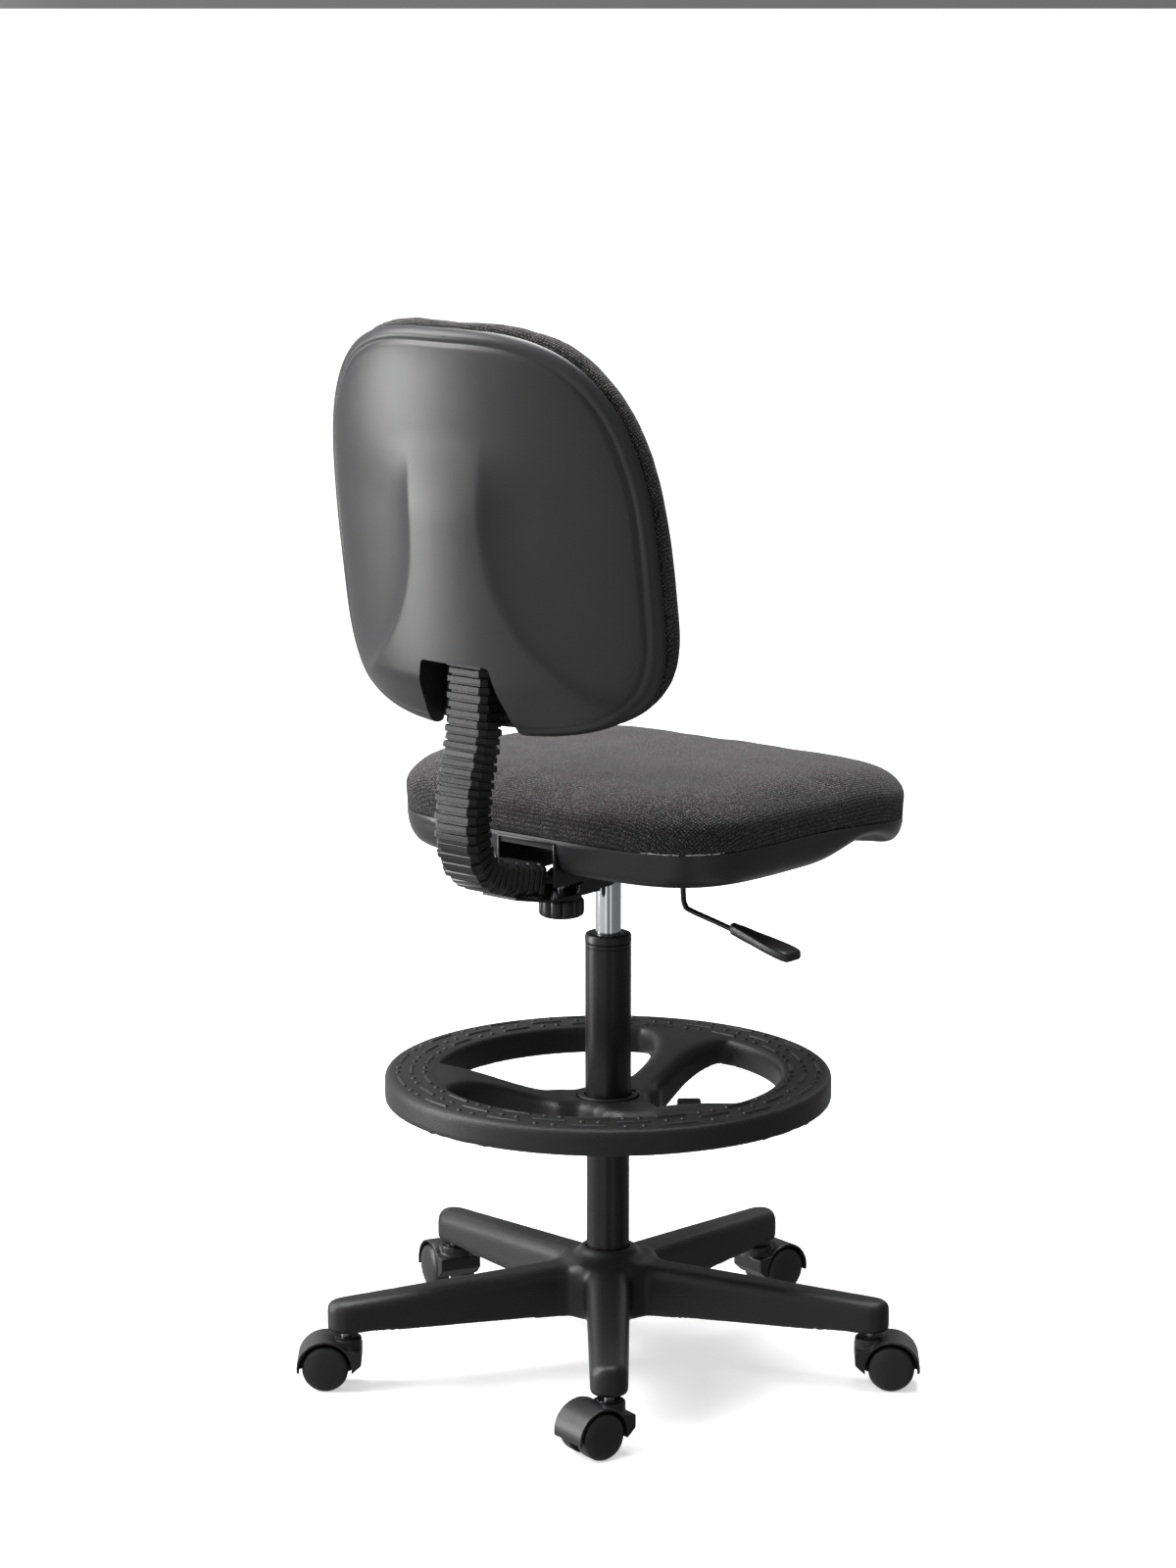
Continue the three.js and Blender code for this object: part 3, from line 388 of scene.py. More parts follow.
def plasticMaterial(name, look):
    material, tree, shader = newMaterial(name, look["roughness"])
    grain = addGroup(tree, "grain", Grain_Scale=look["grainScale"], Patch_Scale=look.get("patchScale", 14.0))
    wear = addGroup(tree, "wear", Clean=look["colour"], Worn=look["worn"], Amount=look.get("wearAmount", 0.4))
    tint = tree.nodes.new("ShaderNodeMix")
    tint.data_type = "RGBA"
    tint.blend_type = "MULTIPLY"
    tint.inputs["Factor"].default_value = 1.0
    shade = rampNode(tree, grain.outputs["Patches"], [(0.3, 0.86), (0.7, 1.0)])
    tree.links.new(wear.outputs["Color"], tint.inputs["A"])
    tree.links.new(shade, tint.inputs["B"])
    tree.links.new(tint.outputs["Result"], shader.inputs["Base Color"])
    spread = look.get("roughnessSpread", 0.08)
    rough = mathNode(tree, "ADD", mathNode(tree, "MULTIPLY", grain.outputs["Patches"], spread),
                     look["roughness"] - spread / 2)
    tree.links.new(rough, shader.inputs["Roughness"])
    bump = tree.nodes.new("ShaderNodeBump")
    bump.inputs["Strength"].default_value = look["bump"]
    bump.inputs["Distance"].default_value = look.get("bumpDepth", 0.0003)
    tree.links.new(grain.outputs["Height"], bump.inputs["Height"])
    tree.links.new(bump.outputs["Normal"], shader.inputs["Normal"])
    shader.inputs["Specular IOR Level"].default_value = look.get("specular", 0.5)
    if "coat" in look:
        shader.inputs["Coat Weight"].default_value = look["coat"]
        shader.inputs["Coat Roughness"].default_value = look.get("coatRoughness", 0.25)
    return material


def fabricMaterial(name, look):
    material, tree, shader = newMaterial(name, look["roughness"])
    weave = addGroup(tree, "weave", Yarn_Scale=look["yarnScale"])
    mix = tree.nodes.new("ShaderNodeMix")
    mix.data_type = "RGBA"
    mix.inputs["A"].default_value = look["yarn"]
    mix.inputs["B"].default_value = look["fleck"]
    tree.links.new(weave.outputs["Flecks"], mix.inputs["Factor"])
    tint = tree.nodes.new("ShaderNodeMix")
    tint.data_type = "RGBA"
    tint.blend_type = "MULTIPLY"
    tint.inputs["Factor"].default_value = 1.0
    tree.links.new(mix.outputs["Result"], tint.inputs["A"])
    tree.links.new(rampNode(tree, weave.outputs["Mottle"], [(0.3, 0.82), (0.7, 1.0)]), tint.inputs["B"])
    tree.links.new(tint.outputs["Result"], shader.inputs["Base Color"])
    bump = tree.nodes.new("ShaderNodeBump")
    bump.inputs["Strength"].default_value = look["bump"]
    bump.inputs["Distance"].default_value = look["bumpDepth"]
    tree.links.new(weave.outputs["Height"], bump.inputs["Height"])
    tree.links.new(bump.outputs["Normal"], shader.inputs["Normal"])
    shader.inputs["Sheen Weight"].default_value = look["sheen"]
    shader.inputs["Sheen Roughness"].default_value = 0.45
    shader.inputs["Sheen Tint"].default_value = (0.9, 0.89, 0.9, 1)
    shader.inputs["Specular IOR Level"].default_value = 0.2
    return material


def metalMaterial(name, look):
    material, tree, shader = newMaterial(name, look["roughness"], 1.0)
    coords = tree.nodes.new("ShaderNodeTexCoord").outputs["Object"]
    stretch = tree.nodes.new("ShaderNodeMapping")
    stretch.inputs["Scale"].default_value = (1, 1, look.get("stretch", 1))
    tree.links.new(coords, stretch.inputs["Vector"])
    streaks = noiseNode(tree, stretch.outputs["Vector"], look["streakScale"], 4, 0.6)
    rough = mathNode(tree, "ADD", mathNode(tree, "MULTIPLY", streaks, look["spread"]),
                     look["roughness"] - look["spread"] / 2)
    tree.links.new(rough, shader.inputs["Roughness"])
    shade = tree.nodes.new("ShaderNodeMix")
    shade.data_type = "RGBA"
    shade.inputs["A"].default_value = look["colour"]
    shade.inputs["B"].default_value = look["dull"]
    tree.links.new(rampNode(tree, streaks, [(0.45, 0), (0.75, 1)]), shade.inputs["Factor"])
    tree.links.new(shade.outputs["Result"], shader.inputs["Base Color"])
    bump = tree.nodes.new("ShaderNodeBump")
    bump.inputs["Strength"].default_value = look.get("bump", 0.05)
    bump.inputs["Distance"].default_value = 0.0001
    tree.links.new(streaks, bump.inputs["Height"])
    tree.links.new(bump.outputs["Normal"], shader.inputs["Normal"])
    return material


shellLook = {"colour": grey(0.024), "worn": grey(0.05), "roughness": 0.36, "grainScale": 1500.0, "bump": 0.35,
             "bumpDepth": 0.00022, "roughnessSpread": 0.06, "patchScale": 8.0, "wearAmount": 0.2}
ringLook = {"colour": grey(0.014), "worn": grey(0.05), "roughness": 0.46, "grainScale": 850.0, "bump": 0.55,
            "bumpDepth": 0.0004, "wearAmount": 0.5}
baseLook = {"colour": grey(0.012), "worn": grey(0.04), "roughness": 0.42, "grainScale": 900.0, "bump": 0.5,
            "bumpDepth": 0.0004, "wearAmount": 0.35}
casterLook = {"colour": grey(0.018), "worn": grey(0.05), "roughness": 0.40, "grainScale": 1400.0, "bump": 0.2,
              "wearAmount": 0.3}
bellowsLook = {"colour": grey(0.016), "worn": grey(0.05), "roughness": 0.27, "grainScale": 1600.0,
               "bump": 0.05, "wearAmount": 0.12, "patchScale": 20.0}
knobLook = {"colour": grey(0.014), "worn": grey(0.04), "roughness": 0.36, "grainScale": 1300.0, "bump": 0.25,
            "wearAmount": 0.5}
capLook = {"colour": grey(0.010), "worn": grey(0.04), "roughness": 0.36, "grainScale": 1500.0, "bump": 0.15,
           "wearAmount": 0.5}
paintLook = {"colour": grey(0.007, 1.0), "worn": grey(0.03, 1.0), "roughness": 0.34, "grainScale": 700.0,
             "bump": 0.18, "bumpDepth": 0.00025, "wearAmount": 0.5, "patchScale": 22.0,
             "roughnessSpread": 0.14}
rubberLook = {"colour": grey(0.02, 1.0), "worn": grey(0.04, 1.0), "roughness": 0.8, "grainScale": 600.0,
              "bump": 0.3}
plywoodLook = {"colour": (0.52, 0.36, 0.2, 1), "worn": (0.6, 0.45, 0.28, 1), "roughness": 0.7,
               "grainScale": 120.0, "bump": 0.3, "patchScale": 5.0}
fabricLook = {"yarn": (0.008, 0.0075, 0.0078, 1), "fleck": (0.30, 0.285, 0.29, 1), "roughness": 0.9,
              "yarnScale": 1000.0, "bump": 0.7, "bumpDepth": 0.0009, "sheen": 0.12}
chromeLook = {"colour": (0.86, 0.87, 0.90, 1), "dull": (0.76, 0.77, 0.80, 1), "roughness": 0.08,
              "spread": 0.05, "streakScale": 90.0, "stretch": 0.2}
steelLook = {"colour": (0.55, 0.56, 0.58, 1), "dull": (0.38, 0.38, 0.4, 1), "roughness": 0.34, "spread": 0.16,
             "streakScale": 160.0, "bump": 0.2}

shellPlastic = plasticMaterial("shellPlastic", shellLook)
ringPlastic = plasticMaterial("ringPlastic", ringLook)
basePlastic = plasticMaterial("baseNylon", baseLook)
casterPlastic = plasticMaterial("casterNylon", casterLook)
bellowsPlastic = plasticMaterial("bellowsPlastic", bellowsLook)
knobPlastic = plasticMaterial("knobPlastic", knobLook)
capPlastic = plasticMaterial("capPlastic", capLook)
blackPaint = plasticMaterial("blackPaint", paintLook)
blackRubber = plasticMaterial("blackRubber", rubberLook)
plywood = plasticMaterial("plywood", plywoodLook)
wovenFabric = fabricMaterial("wovenFabric", fabricLook)
chrome = metalMaterial("chromePlate", chromeLook)
zincSteel = metalMaterial("zincSteel", steelLook)
print("stage: materials")

# Solids that are right as they are keep their shape and only get a finish.
for node, material in {
    "piston_rod": chrome, "thrust_bearing": zincSteel, "bump_rubber": blackRubber, "rod_clip": zincSteel,
    "valve_pin": zincSteel, "ring_lock_stud": zincSteel, "pivot_pin": zincSteel, "bar_stud": zincSteel,
    "back_bar": blackPaint, "seat_plate": blackPaint, "seat_board": plywood, "back_board": shellPlastic,
    "back_carrier": knobPlastic,
    **{f"seat_bolt_{k}": zincSteel for k in range(1, 5)},
    **{f"caster_axle_{k}": zincSteel for k in range(1, 6)},
}.items():
    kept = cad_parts[node]
    kept.data.materials.clear()
    kept.data.materials.append(material)


baseShape = {"firstArm": 130, "stemRadius": 0.297, "hubWidth": 0.048, "tipWidth": 0.040, "hubBottom": 0.058,
             "tipBottom": 0.062, "hubTop": 0.118, "tipTop": 0.097, "hubRadius": 0.043, "wall": 0.0042,
             "fillet": 0.016}


def between(a, b, share):
    return a + (b - a) * share


def buildBase(shape):
    def armAt(radius, narrower=0.0, lower=0.0, higher=0.0):
        share = min(radius / shape["stemRadius"], 1)
        nearHub = max(0, shape["fillet"] - (radius - shape["hubRadius"]))
        inward = min(nearHub, shape["fillet"])
        flare = shape["fillet"] - math.sqrt(max(shape["fillet"] ** 2 - inward ** 2, 0))
        return (between(shape["hubWidth"], shape["tipWidth"], share) + 2 * flare - 2 * narrower,
                between(shape["hubBottom"], shape["tipBottom"], share) - lower,
                between(shape["hubTop"], shape["tipTop"], share) + flare * 0.35 - higher)

    def arm(name, hollow):
        rows = []
        extra = (shape["wall"], 0.012, shape["wall"]) if hollow else (0, 0, 0)
        start, stop = (0.048, shape["stemRadius"] - 0.018) if hollow else (0.018, shape["stemRadius"])
        for k in range(19):
            radius = between(start, stop, (k / 18) ** 1.4)
            width, low, high = armAt(radius, *extra)
            section = roundedSection(width, low, high, 0.002, 0.013 - 0.003 * hollow, 5)
            rows.append([Vector((radius, a, b)) for a, b in section])
        if not hollow:
            for turn in (15, 30, 45, 58, 70, 80):
                bend = math.radians(turn)
                radius = shape["stemRadius"] + shape["tipWidth"] / 2 * math.sin(bend)
                width = shape["tipWidth"] * math.cos(bend)
                high = shape["tipTop"] - 0.007 * (turn / 80) ** 3
                round_ = min(0.013, width * 0.42)
                section = roundedSection(width, shape["tipBottom"], high, min(0.002, width * 0.2), round_, 5)
                rows.append([Vector((radius, a, b)) for a, b in section])
        return loft(name, rows)

    hub = lathe("hubSolid", [(0, 0.056), (0.043, 0.056), (0.0475, 0.101), (0.046, 0.109), (0.041, 0.1155),
                             (0.036, 0.120), (0.0325, 0.1245), (0.031, 0.1285), (0.029, 0.130),
                             (0, 0.130)], 72)
    parts, hollows = [hub], []
    for k in range(5):
        turn = Matrix.Rotation(math.radians(shape["firstArm"] + 72 * k), 4, "Z")
        solid = arm("armSolid", False)
        solid.data.transform(turn)
        parts.append(solid)
        hollow = arm("armHollow", True)
        hollow.data.transform(turn)
        hollows.append(hollow)
    body = joinObjects("starBase", parts)
    softenEdges(body, 0.0024, 1)
    hollows.append(lathe("boreTool", [(0, 0.03), (0.0236, 0.03), (0.0236, 0.16), (0, 0.16)], 72))
    for hollow in hollows:
        combine(body, hollow, "DIFFERENCE")
    softenEdges(body, 0.0022, 12)
    body.data.transform(columnPlace)
    return body


starBase = buildBase(baseShape)
finish(starBase, "base", "base_nylon", basePlastic, "star_base")
print("stage: star base", len(starBase.data.vertices))


columnShape = {"upper": 0.025, "lower": 0.0233, "wall": 0.002, "bottom": 0.064, "swage": 0.250, "top": 0.470,
               "cap": 0.480}


def buildColumn(shape):
    upper, lower, wall = shape["upper"], shape["lower"], shape["wall"]
    bottom, swage, top, capTop = shape["bottom"], shape["swage"], shape["top"], shape["cap"]
    tube = lathe("standTube", [
        (0.005, bottom), (lower - 0.001, bottom), (lower, bottom + 0.001), (lower, swage),
        (lower + 0.0004, swage + 0.003), (upper - 0.0004, swage + 0.009), (upper, swage + 0.012),
        (upper, top - 0.0055), (upper - 0.0007, top - 0.005), (upper - 0.0007, top - 0.0042),
        (upper, top - 0.0037), (upper, top - 0.0006), (upper - 0.0006, top), (upper - wall, top),
        (upper - wall, swage + 0.013), (lower - wall, swage + 0.001), (lower - wall, bottom + 0.003),
        (0.005, bottom + 0.003)], 96, 28)
    for turn in (214, 226):  # two small dents that hold the cap
        dent = lathe("dentTool", [(0, -0.0015), (0.0011, -0.001), (0.0016, 0.0015), (0, 0.0015)], 16)
        dent.data.transform(Matrix.Translation((upper, 0, 0.4615)) @ Matrix.Rotation(math.pi / 2, 4, "Y"))
        dent.data.transform(Matrix.Rotation(math.radians(turn), 4, "Z"))
        combine(tube, dent, "DIFFERENCE")
    tidyNormals(tube, 28)
    tube.data.transform(columnPlace)
    inner = 0.0144
    cap = lathe("guideCap", [
        (inner, 0.372), (upper - wall - 0.0004, 0.372), (upper - wall - 0.0004, top + 0.0004),
        (upper - 0.0004, top + 0.0004), (upper + 0.0003, top + 0.001), (upper + 0.0003, capTop - 0.0028),
        (upper - 0.0006, capTop - 0.0009), (upper - 0.0024, capTop), (inner + 0.0012, capTop),
        (inner, capTop - 0.0012)], 96, 28)
    tools = []
    for k in range(20):
        turn = Matrix.Rotation(math.radians(18 * k), 4, "Z")
        tools.append(roundedBlock("capSlot", (0.0042, 0.0016, 0.004), (0.0212, 0, capTop + 0.0004), 0.0006))
        tools[-1].data.transform(turn)
    combine(cap, joinObjects("capSlots", tools), "DIFFERENCE")
    tidyNormals(cap, 28)
    cap.data.transform(columnPlace)
    return tube, cap


standTube, guideCap = buildColumn(columnShape)
finish(standTube, "base", "column_steel", blackPaint, "stand_tube")
finish(guideCap, "base", "cap_plastic", capPlastic, "guide_bush")

gasCylinder = lathe("gasCylinder", [
    (0.0054, 0.172), (0.0128, 0.172), (0.014, 0.1735), (0.014, 0.540), (0.0132, 0.5795), (0.0127, 0.580),
    (0.0034, 0.580), (0.0034, 0.568), (0.0112, 0.568), (0.012, 0.540), (0.012, 0.184),
    (0.0054, 0.184)], 72, 28)
gasCylinder.data.transform(columnPlace)
finish(gasCylinder, "seat", "chrome", chrome, "gas_cylinder")
taperSocket = lathe("taperSocket", [
    (0.0144, 0.540), (0.0180, 0.540), (0.019, 0.5412), (0.019, 0.5832), (0.0136, 0.5832)], 56, 28)
taperSocket.data.transform(columnPlace)
finish(taperSocket, "seat", "mechanism_steel", blackPaint, "taper_socket")
print("stage: column")


ringShape = {"radius": 0.2425, "inner": 0.187, "top": 0.3275, "height": 0.031, "round": 0.0055,
             "spokes": [279, 43, 158], "spokeWidth": 0.044, "rimFillet": 0.085, "rimFlare": 0.058,
             "hubFillet": 0.034, "sweep": 14, "hubTop": 0.300, "hubBottom": 0.247, "knobAngle": 220,
             "knobHeight": 0.279}


def buildRing(shape):
    top, low = shape["top"], shape["top"] - shape["height"]
    outline = [(shape["radius"] - 0.001, low), (shape["radius"], low + 0.001)]
    for k in range(6):
        turn = math.radians(90 * k / 5)
        outline.append((shape["radius"] - shape["round"] * (1 - math.cos(turn)),
                        top - shape["round"] * (1 - math.sin(turn))))
    for k in range(6):
        turn = math.radians(90 * k / 5)
        outline.append((shape["inner"] + shape["round"] * (1 - math.sin(turn)),
                        top - shape["round"] * (1 - math.cos(turn))))
    outline += [(shape["inner"], low - 0.002), (shape["inner"] + 0.005, low - 0.002),
                (shape["inner"] + 0.005, top - 0.006), (shape["radius"] - 0.005, top - 0.006),
                (shape["radius"] - 0.005, low)]
    rim = lathe("ringRim", outline, 160)
    hub = lathe("ringHub", [(0, shape["hubBottom"]), (0.045, shape["hubBottom"]), (0.048, 0.252),
                            (0.050, 0.282), (0.048, 0.291), (0.044, 0.297), (0.039, 0.2995),
                            (0.036, 0.300), (0, 0.300)], 72)
    parts = [rim, hub]
    for spoke in shape["spokes"]:
        rows = []
        start, stop = 0.028, shape["inner"] + 0.003
        for k in range(25):
            share = k / 24
            radius = between(start, stop, share)
            toRim = max(0, shape["rimFillet"] - (shape["inner"] - radius))
            toHub = min(max(0, shape["hubFillet"] - (radius - 0.048)), shape["hubFillet"])
            near = min(toRim / shape["rimFillet"], 1)
            flare = shape["rimFlare"] * (1 - math.sqrt(1 - near ** 2))
            hubFlare = shape["hubFillet"] - math.sqrt(max(shape["hubFillet"] ** 2 - toHub ** 2, 0))
            width = shape["spokeWidth"] + 2 * flare + 2 * min(hubFlare, 0.012)
            high = between(shape["hubTop"] - 0.001, top - 0.001, smoothstep(0.12, 0.92, share))
            floor = between(shape["hubBottom"] + 0.006, low + 0.003, smoothstep(0.0, 1.0, share))
            turn = math.radians(spoke + shape["sweep"] * (share - 0.75) * share)
            section = roundedSection(width, floor, high, 0.003, 0.0115, 5)
            rows.append([Matrix.Rotation(turn, 3, "Z") @ Vector((radius, a, b)) for a, b in section])
        parts.append(loft("spoke", rows))
    body = joinObjects("footRing", parts)
    softenEdges(body, 0.0026, 1)
    channelIn, channelOut = shape["inner"] + 0.005, shape["radius"] - 0.005
    combine(body, lathe("rimTrim", [(channelIn, 0.2), (0.26, 0.2), (0.26, low - 0.0005),
                                    (channelOut, low - 0.0005), (channelOut, top - 0.006),
                                    (channelIn, top - 0.006)], 160), "DIFFERENCE")
    combine(body, lathe("ringBore", [(0, 0.2), (0.0338, 0.2), (0.0338, 0.36), (0, 0.36)], 72), "DIFFERENCE")
    softenEdges(body, 0.0022, 8)
    recess = roundedBlock("recessTool", (0.02, 0.024, 0.026), (0.053, 0, shape["knobHeight"]), 0.003)
    recess.data.transform(Matrix.Rotation(math.radians(shape["knobAngle"]), 4, "Z"))
    combine(body, recess, "DIFFERENCE")
    body.data.shade_smooth()
    body.data.set_sharp_from_angle(angle=math.radians(50))
    body.data.transform(columnPlace)
    return body


treadShape = {"rows": [0.228, 0.2133, 0.199], "groups": 15, "dashTurn": 9.5, "dashSteps": 10,
              "domes": [9.5, 14.3], "width": 0.0021, "height": 0.0017, "domeRadius": 0.0030,
              "domeHeight": 0.0020}


def buildTread(shape, top):
    points, faces = [], []

    def addBump(ringPoints):
        start = len(points)
        count = len(ringPoints[0])
        for row in ringPoints:
            points.extend(row)
        for r in range(len(ringPoints) - 1):
            for i in range(count):
                j = (i + 1) % count
                faces.append((start + r * count + i, start + r * count + j,
                              start + (r + 1) * count + j, start + (r + 1) * count + i))
        faces.append(tuple(start + (len(ringPoints) - 1) * count + i for i in range(count)))
        faces.append(tuple(start + i for i in range(count)))

    for rowIndex, rowRadius in enumerate(shape["rows"]):
        offset = 12 if rowIndex == 1 else 0
        for g in range(shape["groups"]):
            middle = 360 / shape["groups"] * g + offset + 5
            rows = []
            for inset, rise in ((0, -0.0006), (0.0001, 0.0006), (0.0005, 0.0011), (0.0009, shape["height"])):
                row = []
                half = math.radians(shape["dashTurn"] / 2) - inset / rowRadius
                wide = shape["width"] - inset
                for way in (1, -1):  # out along one side of the dash and back along the other
                    reach = rowRadius + way * wide
                    for k in range(shape["dashSteps"] + 1):
                        turn = math.radians(middle) - way * half + way * 2 * half * k / shape["dashSteps"]
                        row.append((reach * math.cos(turn), reach * math.sin(turn), top + rise))
                rows.append(row)
            addBump(rows)
            for dome in shape["domes"]:
                turn = math.radians(middle + dome)
                centre = (rowRadius * math.cos(turn), rowRadius * math.sin(turn))
                rows = []
                for share, rise in ((1.15, -0.0006), (1.0, 0.0), (0.88, 0.55), (0.62, 0.85), (0.3, 1.0)):
                    reach = shape["domeRadius"] * share
                    up = top + (rise * shape["domeHeight"] if rise >= 0 else rise)
                    rows.append([(centre[0] + reach * math.cos(a), centre[1] + reach * math.sin(a), up)
                                 for a in (2 * math.pi * i / 12 for i in range(12))])
                addBump(rows)
    tread = makeObject("ringTread", points, faces, 60)
    tread.data.transform(columnPlace)
    return tread


footRing = buildRing(ringShape)
finish(footRing, "foot_rest", "ring_plastic", ringPlastic, "foot_ring")
ringTread = buildTread(treadShape, ringShape["top"] - 0.0002)
finish(ringTread, "foot_rest", "ring_plastic", ringPlastic)
print("stage: foot ring", len(footRing.data.vertices))

sleeve = lathe("ringSleeve", [
    (0.0258, 0.263), (0.0325, 0.263), (0.033, 0.2635), (0.033, 0.3002), (0.0326, 0.3008), (0.0264, 0.3008),
    (0.0258, 0.3002)], 72, 28)
notch = roundedBlock("notchTool", (0.02, 0.0045, 0.12), (0.031, 0, 0.27), 0.0015)
notch.data.transform(Matrix.Rotation(math.radians(ringShape["knobAngle"] + 18), 4, "Z"))
combine(sleeve, notch, "DIFFERENCE")
keyhole = lathe("keyholeTool", [(0, 0.29), (0.0042, 0.29), (0.0042, 0.31), (0, 0.31)], 20)
keyhole.data.transform(Matrix.Rotation(math.radians(ringShape["knobAngle"] + 18), 4, "Z")
                       @ Matrix.Translation((0.0295, 0, 0)))
combine(sleeve, keyhole, "DIFFERENCE")
tidyNormals(sleeve, 28)
sleeve.data.transform(columnPlace)
finish(sleeve, "ring_clamp", "cap_plastic", ringPlastic, "ring_sleeve")


def buildRingKnob(shape):
    grip = roundedBlock("grip", (0.026, 0.012, 0.020), (0.088, 0, 0.005), 0.0022)
    slit = roundedBlock("slitTool", (0.0225, 0.03, 0.0014), (0.0915, 0, 0.0085), 0.0004)
    combine(grip, slit, "DIFFERENCE")
    neck = lathe("neck", [(0, 0.070), (0.0058, 0.070), (0.0058, 0.0745), (0, 0.0745)], 24)
    neck.data.transform(Matrix.Rotation(math.pi / 2, 4, "Y"))
    knob = joinObjects("ringLockKnob", [grip, neck])
    knob.data.transform(columnPlace @ Matrix.Rotation(math.radians(shape["knobAngle"]), 4, "Z")
                        @ Matrix.Translation((0, 0, shape["knobHeight"])))
    return knob


ringKnob = buildRingKnob(ringShape)
finish(ringKnob, "ring_lock", "knob_plastic", knobPlastic, "ring_lock_knob")
print("stage: ring clamp")


casterShape = {"turns": [75, 218, 258, 335, 41], "wheel": 0.025, "width": 0.0194, "web": 0.014,
               "trail": 0.022, "fender": 0.031, "wall": 0.0028, "boss": 0.017, "top": 0.055}


def buildHood(shape):
    whole = shape["web"] + 2 * shape["width"] - 0.004
    trail, wheel, fender, boss, top = (shape[key] for key in ("trail", "wheel", "fender", "boss", "top"))
    outline = []
    for k in range(25):
        turn = math.radians(-8 + 146 * k / 24)
        outline.append((trail + fender * math.cos(turn), wheel + fender * math.sin(turn)))
    outline += [(-boss, top - 0.012), (-boss, wheel + 0.004), (-0.004, wheel - 0.008), (trail, wheel - 0.009)]
    rows = [[Vector((x, y, z)) for x, z in outline] for y in (-whole / 2, whole / 2)]
    block = loft("hood", rows)
    combine(block, lathe("bossTool", [(0, top - 0.022), (boss, top - 0.022), (boss, top - 0.001),
                                      (boss - 0.001, top), (0, top)], 48), "UNION")
    pocketRadius = fender - shape["wall"]
    for end in (1, -1):
        pocket = lathe("pocketTool", [(0, 0), (pocketRadius, 0), (pocketRadius, 0.04), (0, 0.04)], 72)
        pocket.data.transform(Matrix.Translation((trail, end * shape["web"] / 2, wheel))
                              @ Matrix.Rotation(-end * math.pi / 2, 4, "X"))
        combine(block, pocket, "DIFFERENCE")
    for end in (1, -1):
        trim = roundedBlock("trimTool", (0.12, 0.04, 0.12), (0, end * (whole / 2 + 0.02), 0), 0.001)
        combine(block, trim, "DIFFERENCE")
    recessRadius = boss - 0.0035
    combine(block, lathe("recessTool", [(0, top - 0.004), (recessRadius, top - 0.004),
                                        (recessRadius, top + 0.01), (0, top + 0.01)], 48), "DIFFERENCE")
    softenEdges(block, 0.0009, 3)
    steps = 30
    ridge = []  # the raised line where the two halves of the mould met
    for y, lift in ((-0.0011, 0), (-0.0004, 0.0005), (0.0004, 0.0005), (0.0011, 0)):
        reach = fender - 0.0006 + lift * 1.4
        ridge.append([(trail + reach * math.cos(a), y, wheel + reach * math.sin(a))
                      for a in (math.radians(-4 + 130 * k / steps) for k in range(steps + 1))])
    points = [p for row in ridge for p in row]
    row = steps + 1
    faces = [(r * row + i, r * row + i + 1, (r + 1) * row + i + 1, (r + 1) * row + i)
             for r in range(3) for i in range(steps)]
    seam = makeObject("hoodSeam", points, faces, 60)
    return joinObjects("hoodShape", [block, seam])


def buildWheel(shape):
    radius, width = shape["wheel"], shape["width"]
    outline = [(0.0034, width - 0.005), (0.0034, 0), (radius - 0.0015, 0), (radius, 0.0012),
               (radius, width * 0.30), (radius - 0.0005, width * 0.32), (radius - 0.0005, width * 0.36),
               (radius, width * 0.38),
               (radius, width - 0.0062), (radius - 0.0004, width - 0.0048), (radius - 0.0013, width - 0.0034),
               (radius - 0.003, width - 0.0023), (radius * 0.72, width - 0.0011),
               (radius * 0.45, width - 0.0004), (radius * 0.2, width), (0, width), (0, width - 0.005)]
    return lathe("wheelShape", outline, 72, 28)


def buildStem():
    return lathe("stemShape", [(0, 0.033), (0.004, 0.033), (0.004, 0.0514), (0.0078, 0.0514), (0.008, 0.0518),
                               (0.008, 0.0537), (0.0074, 0.0544), (0.0062, 0.0552), (0.0055, 0.0562),
                               (0.0055, 0.089), (0.004, 0.091), (0, 0.091)], 32, 28)


def buildClip():
    ring = lathe("clipShape", [(0.0062, 0.0516), (0.0128, 0.0516), (0.0132, 0.0522), (0.0132, 0.0556),
                               (0.0126, 0.0562), (0.0062, 0.0562)], 40, 28)
    tools = []
    for k in range(8):
        tool = roundedBlock("clipSlot", (0.01, 0.0018, 0.004), (0.012, 0, 0.0568), 0.0005)
        tool.data.transform(Matrix.Rotation(math.radians(45 * k), 4, "Z"))
        tools.append(tool)
    combine(ring, joinObjects("clipSlots", tools), "DIFFERENCE")
    tidyNormals(ring, 28)
    return ring


hoodModel, wheelModel, stemModel, clipModel = (buildHood(casterShape), buildWheel(casterShape),
                                                buildStem(), buildClip())


def placeCopy(model, name, matrix):
    mesh = model.data.copy()
    mesh.transform(matrix)
    obj = bpy.data.objects.new(name, mesh)
    bpy.context.scene.collection.objects.link(obj)
    return obj


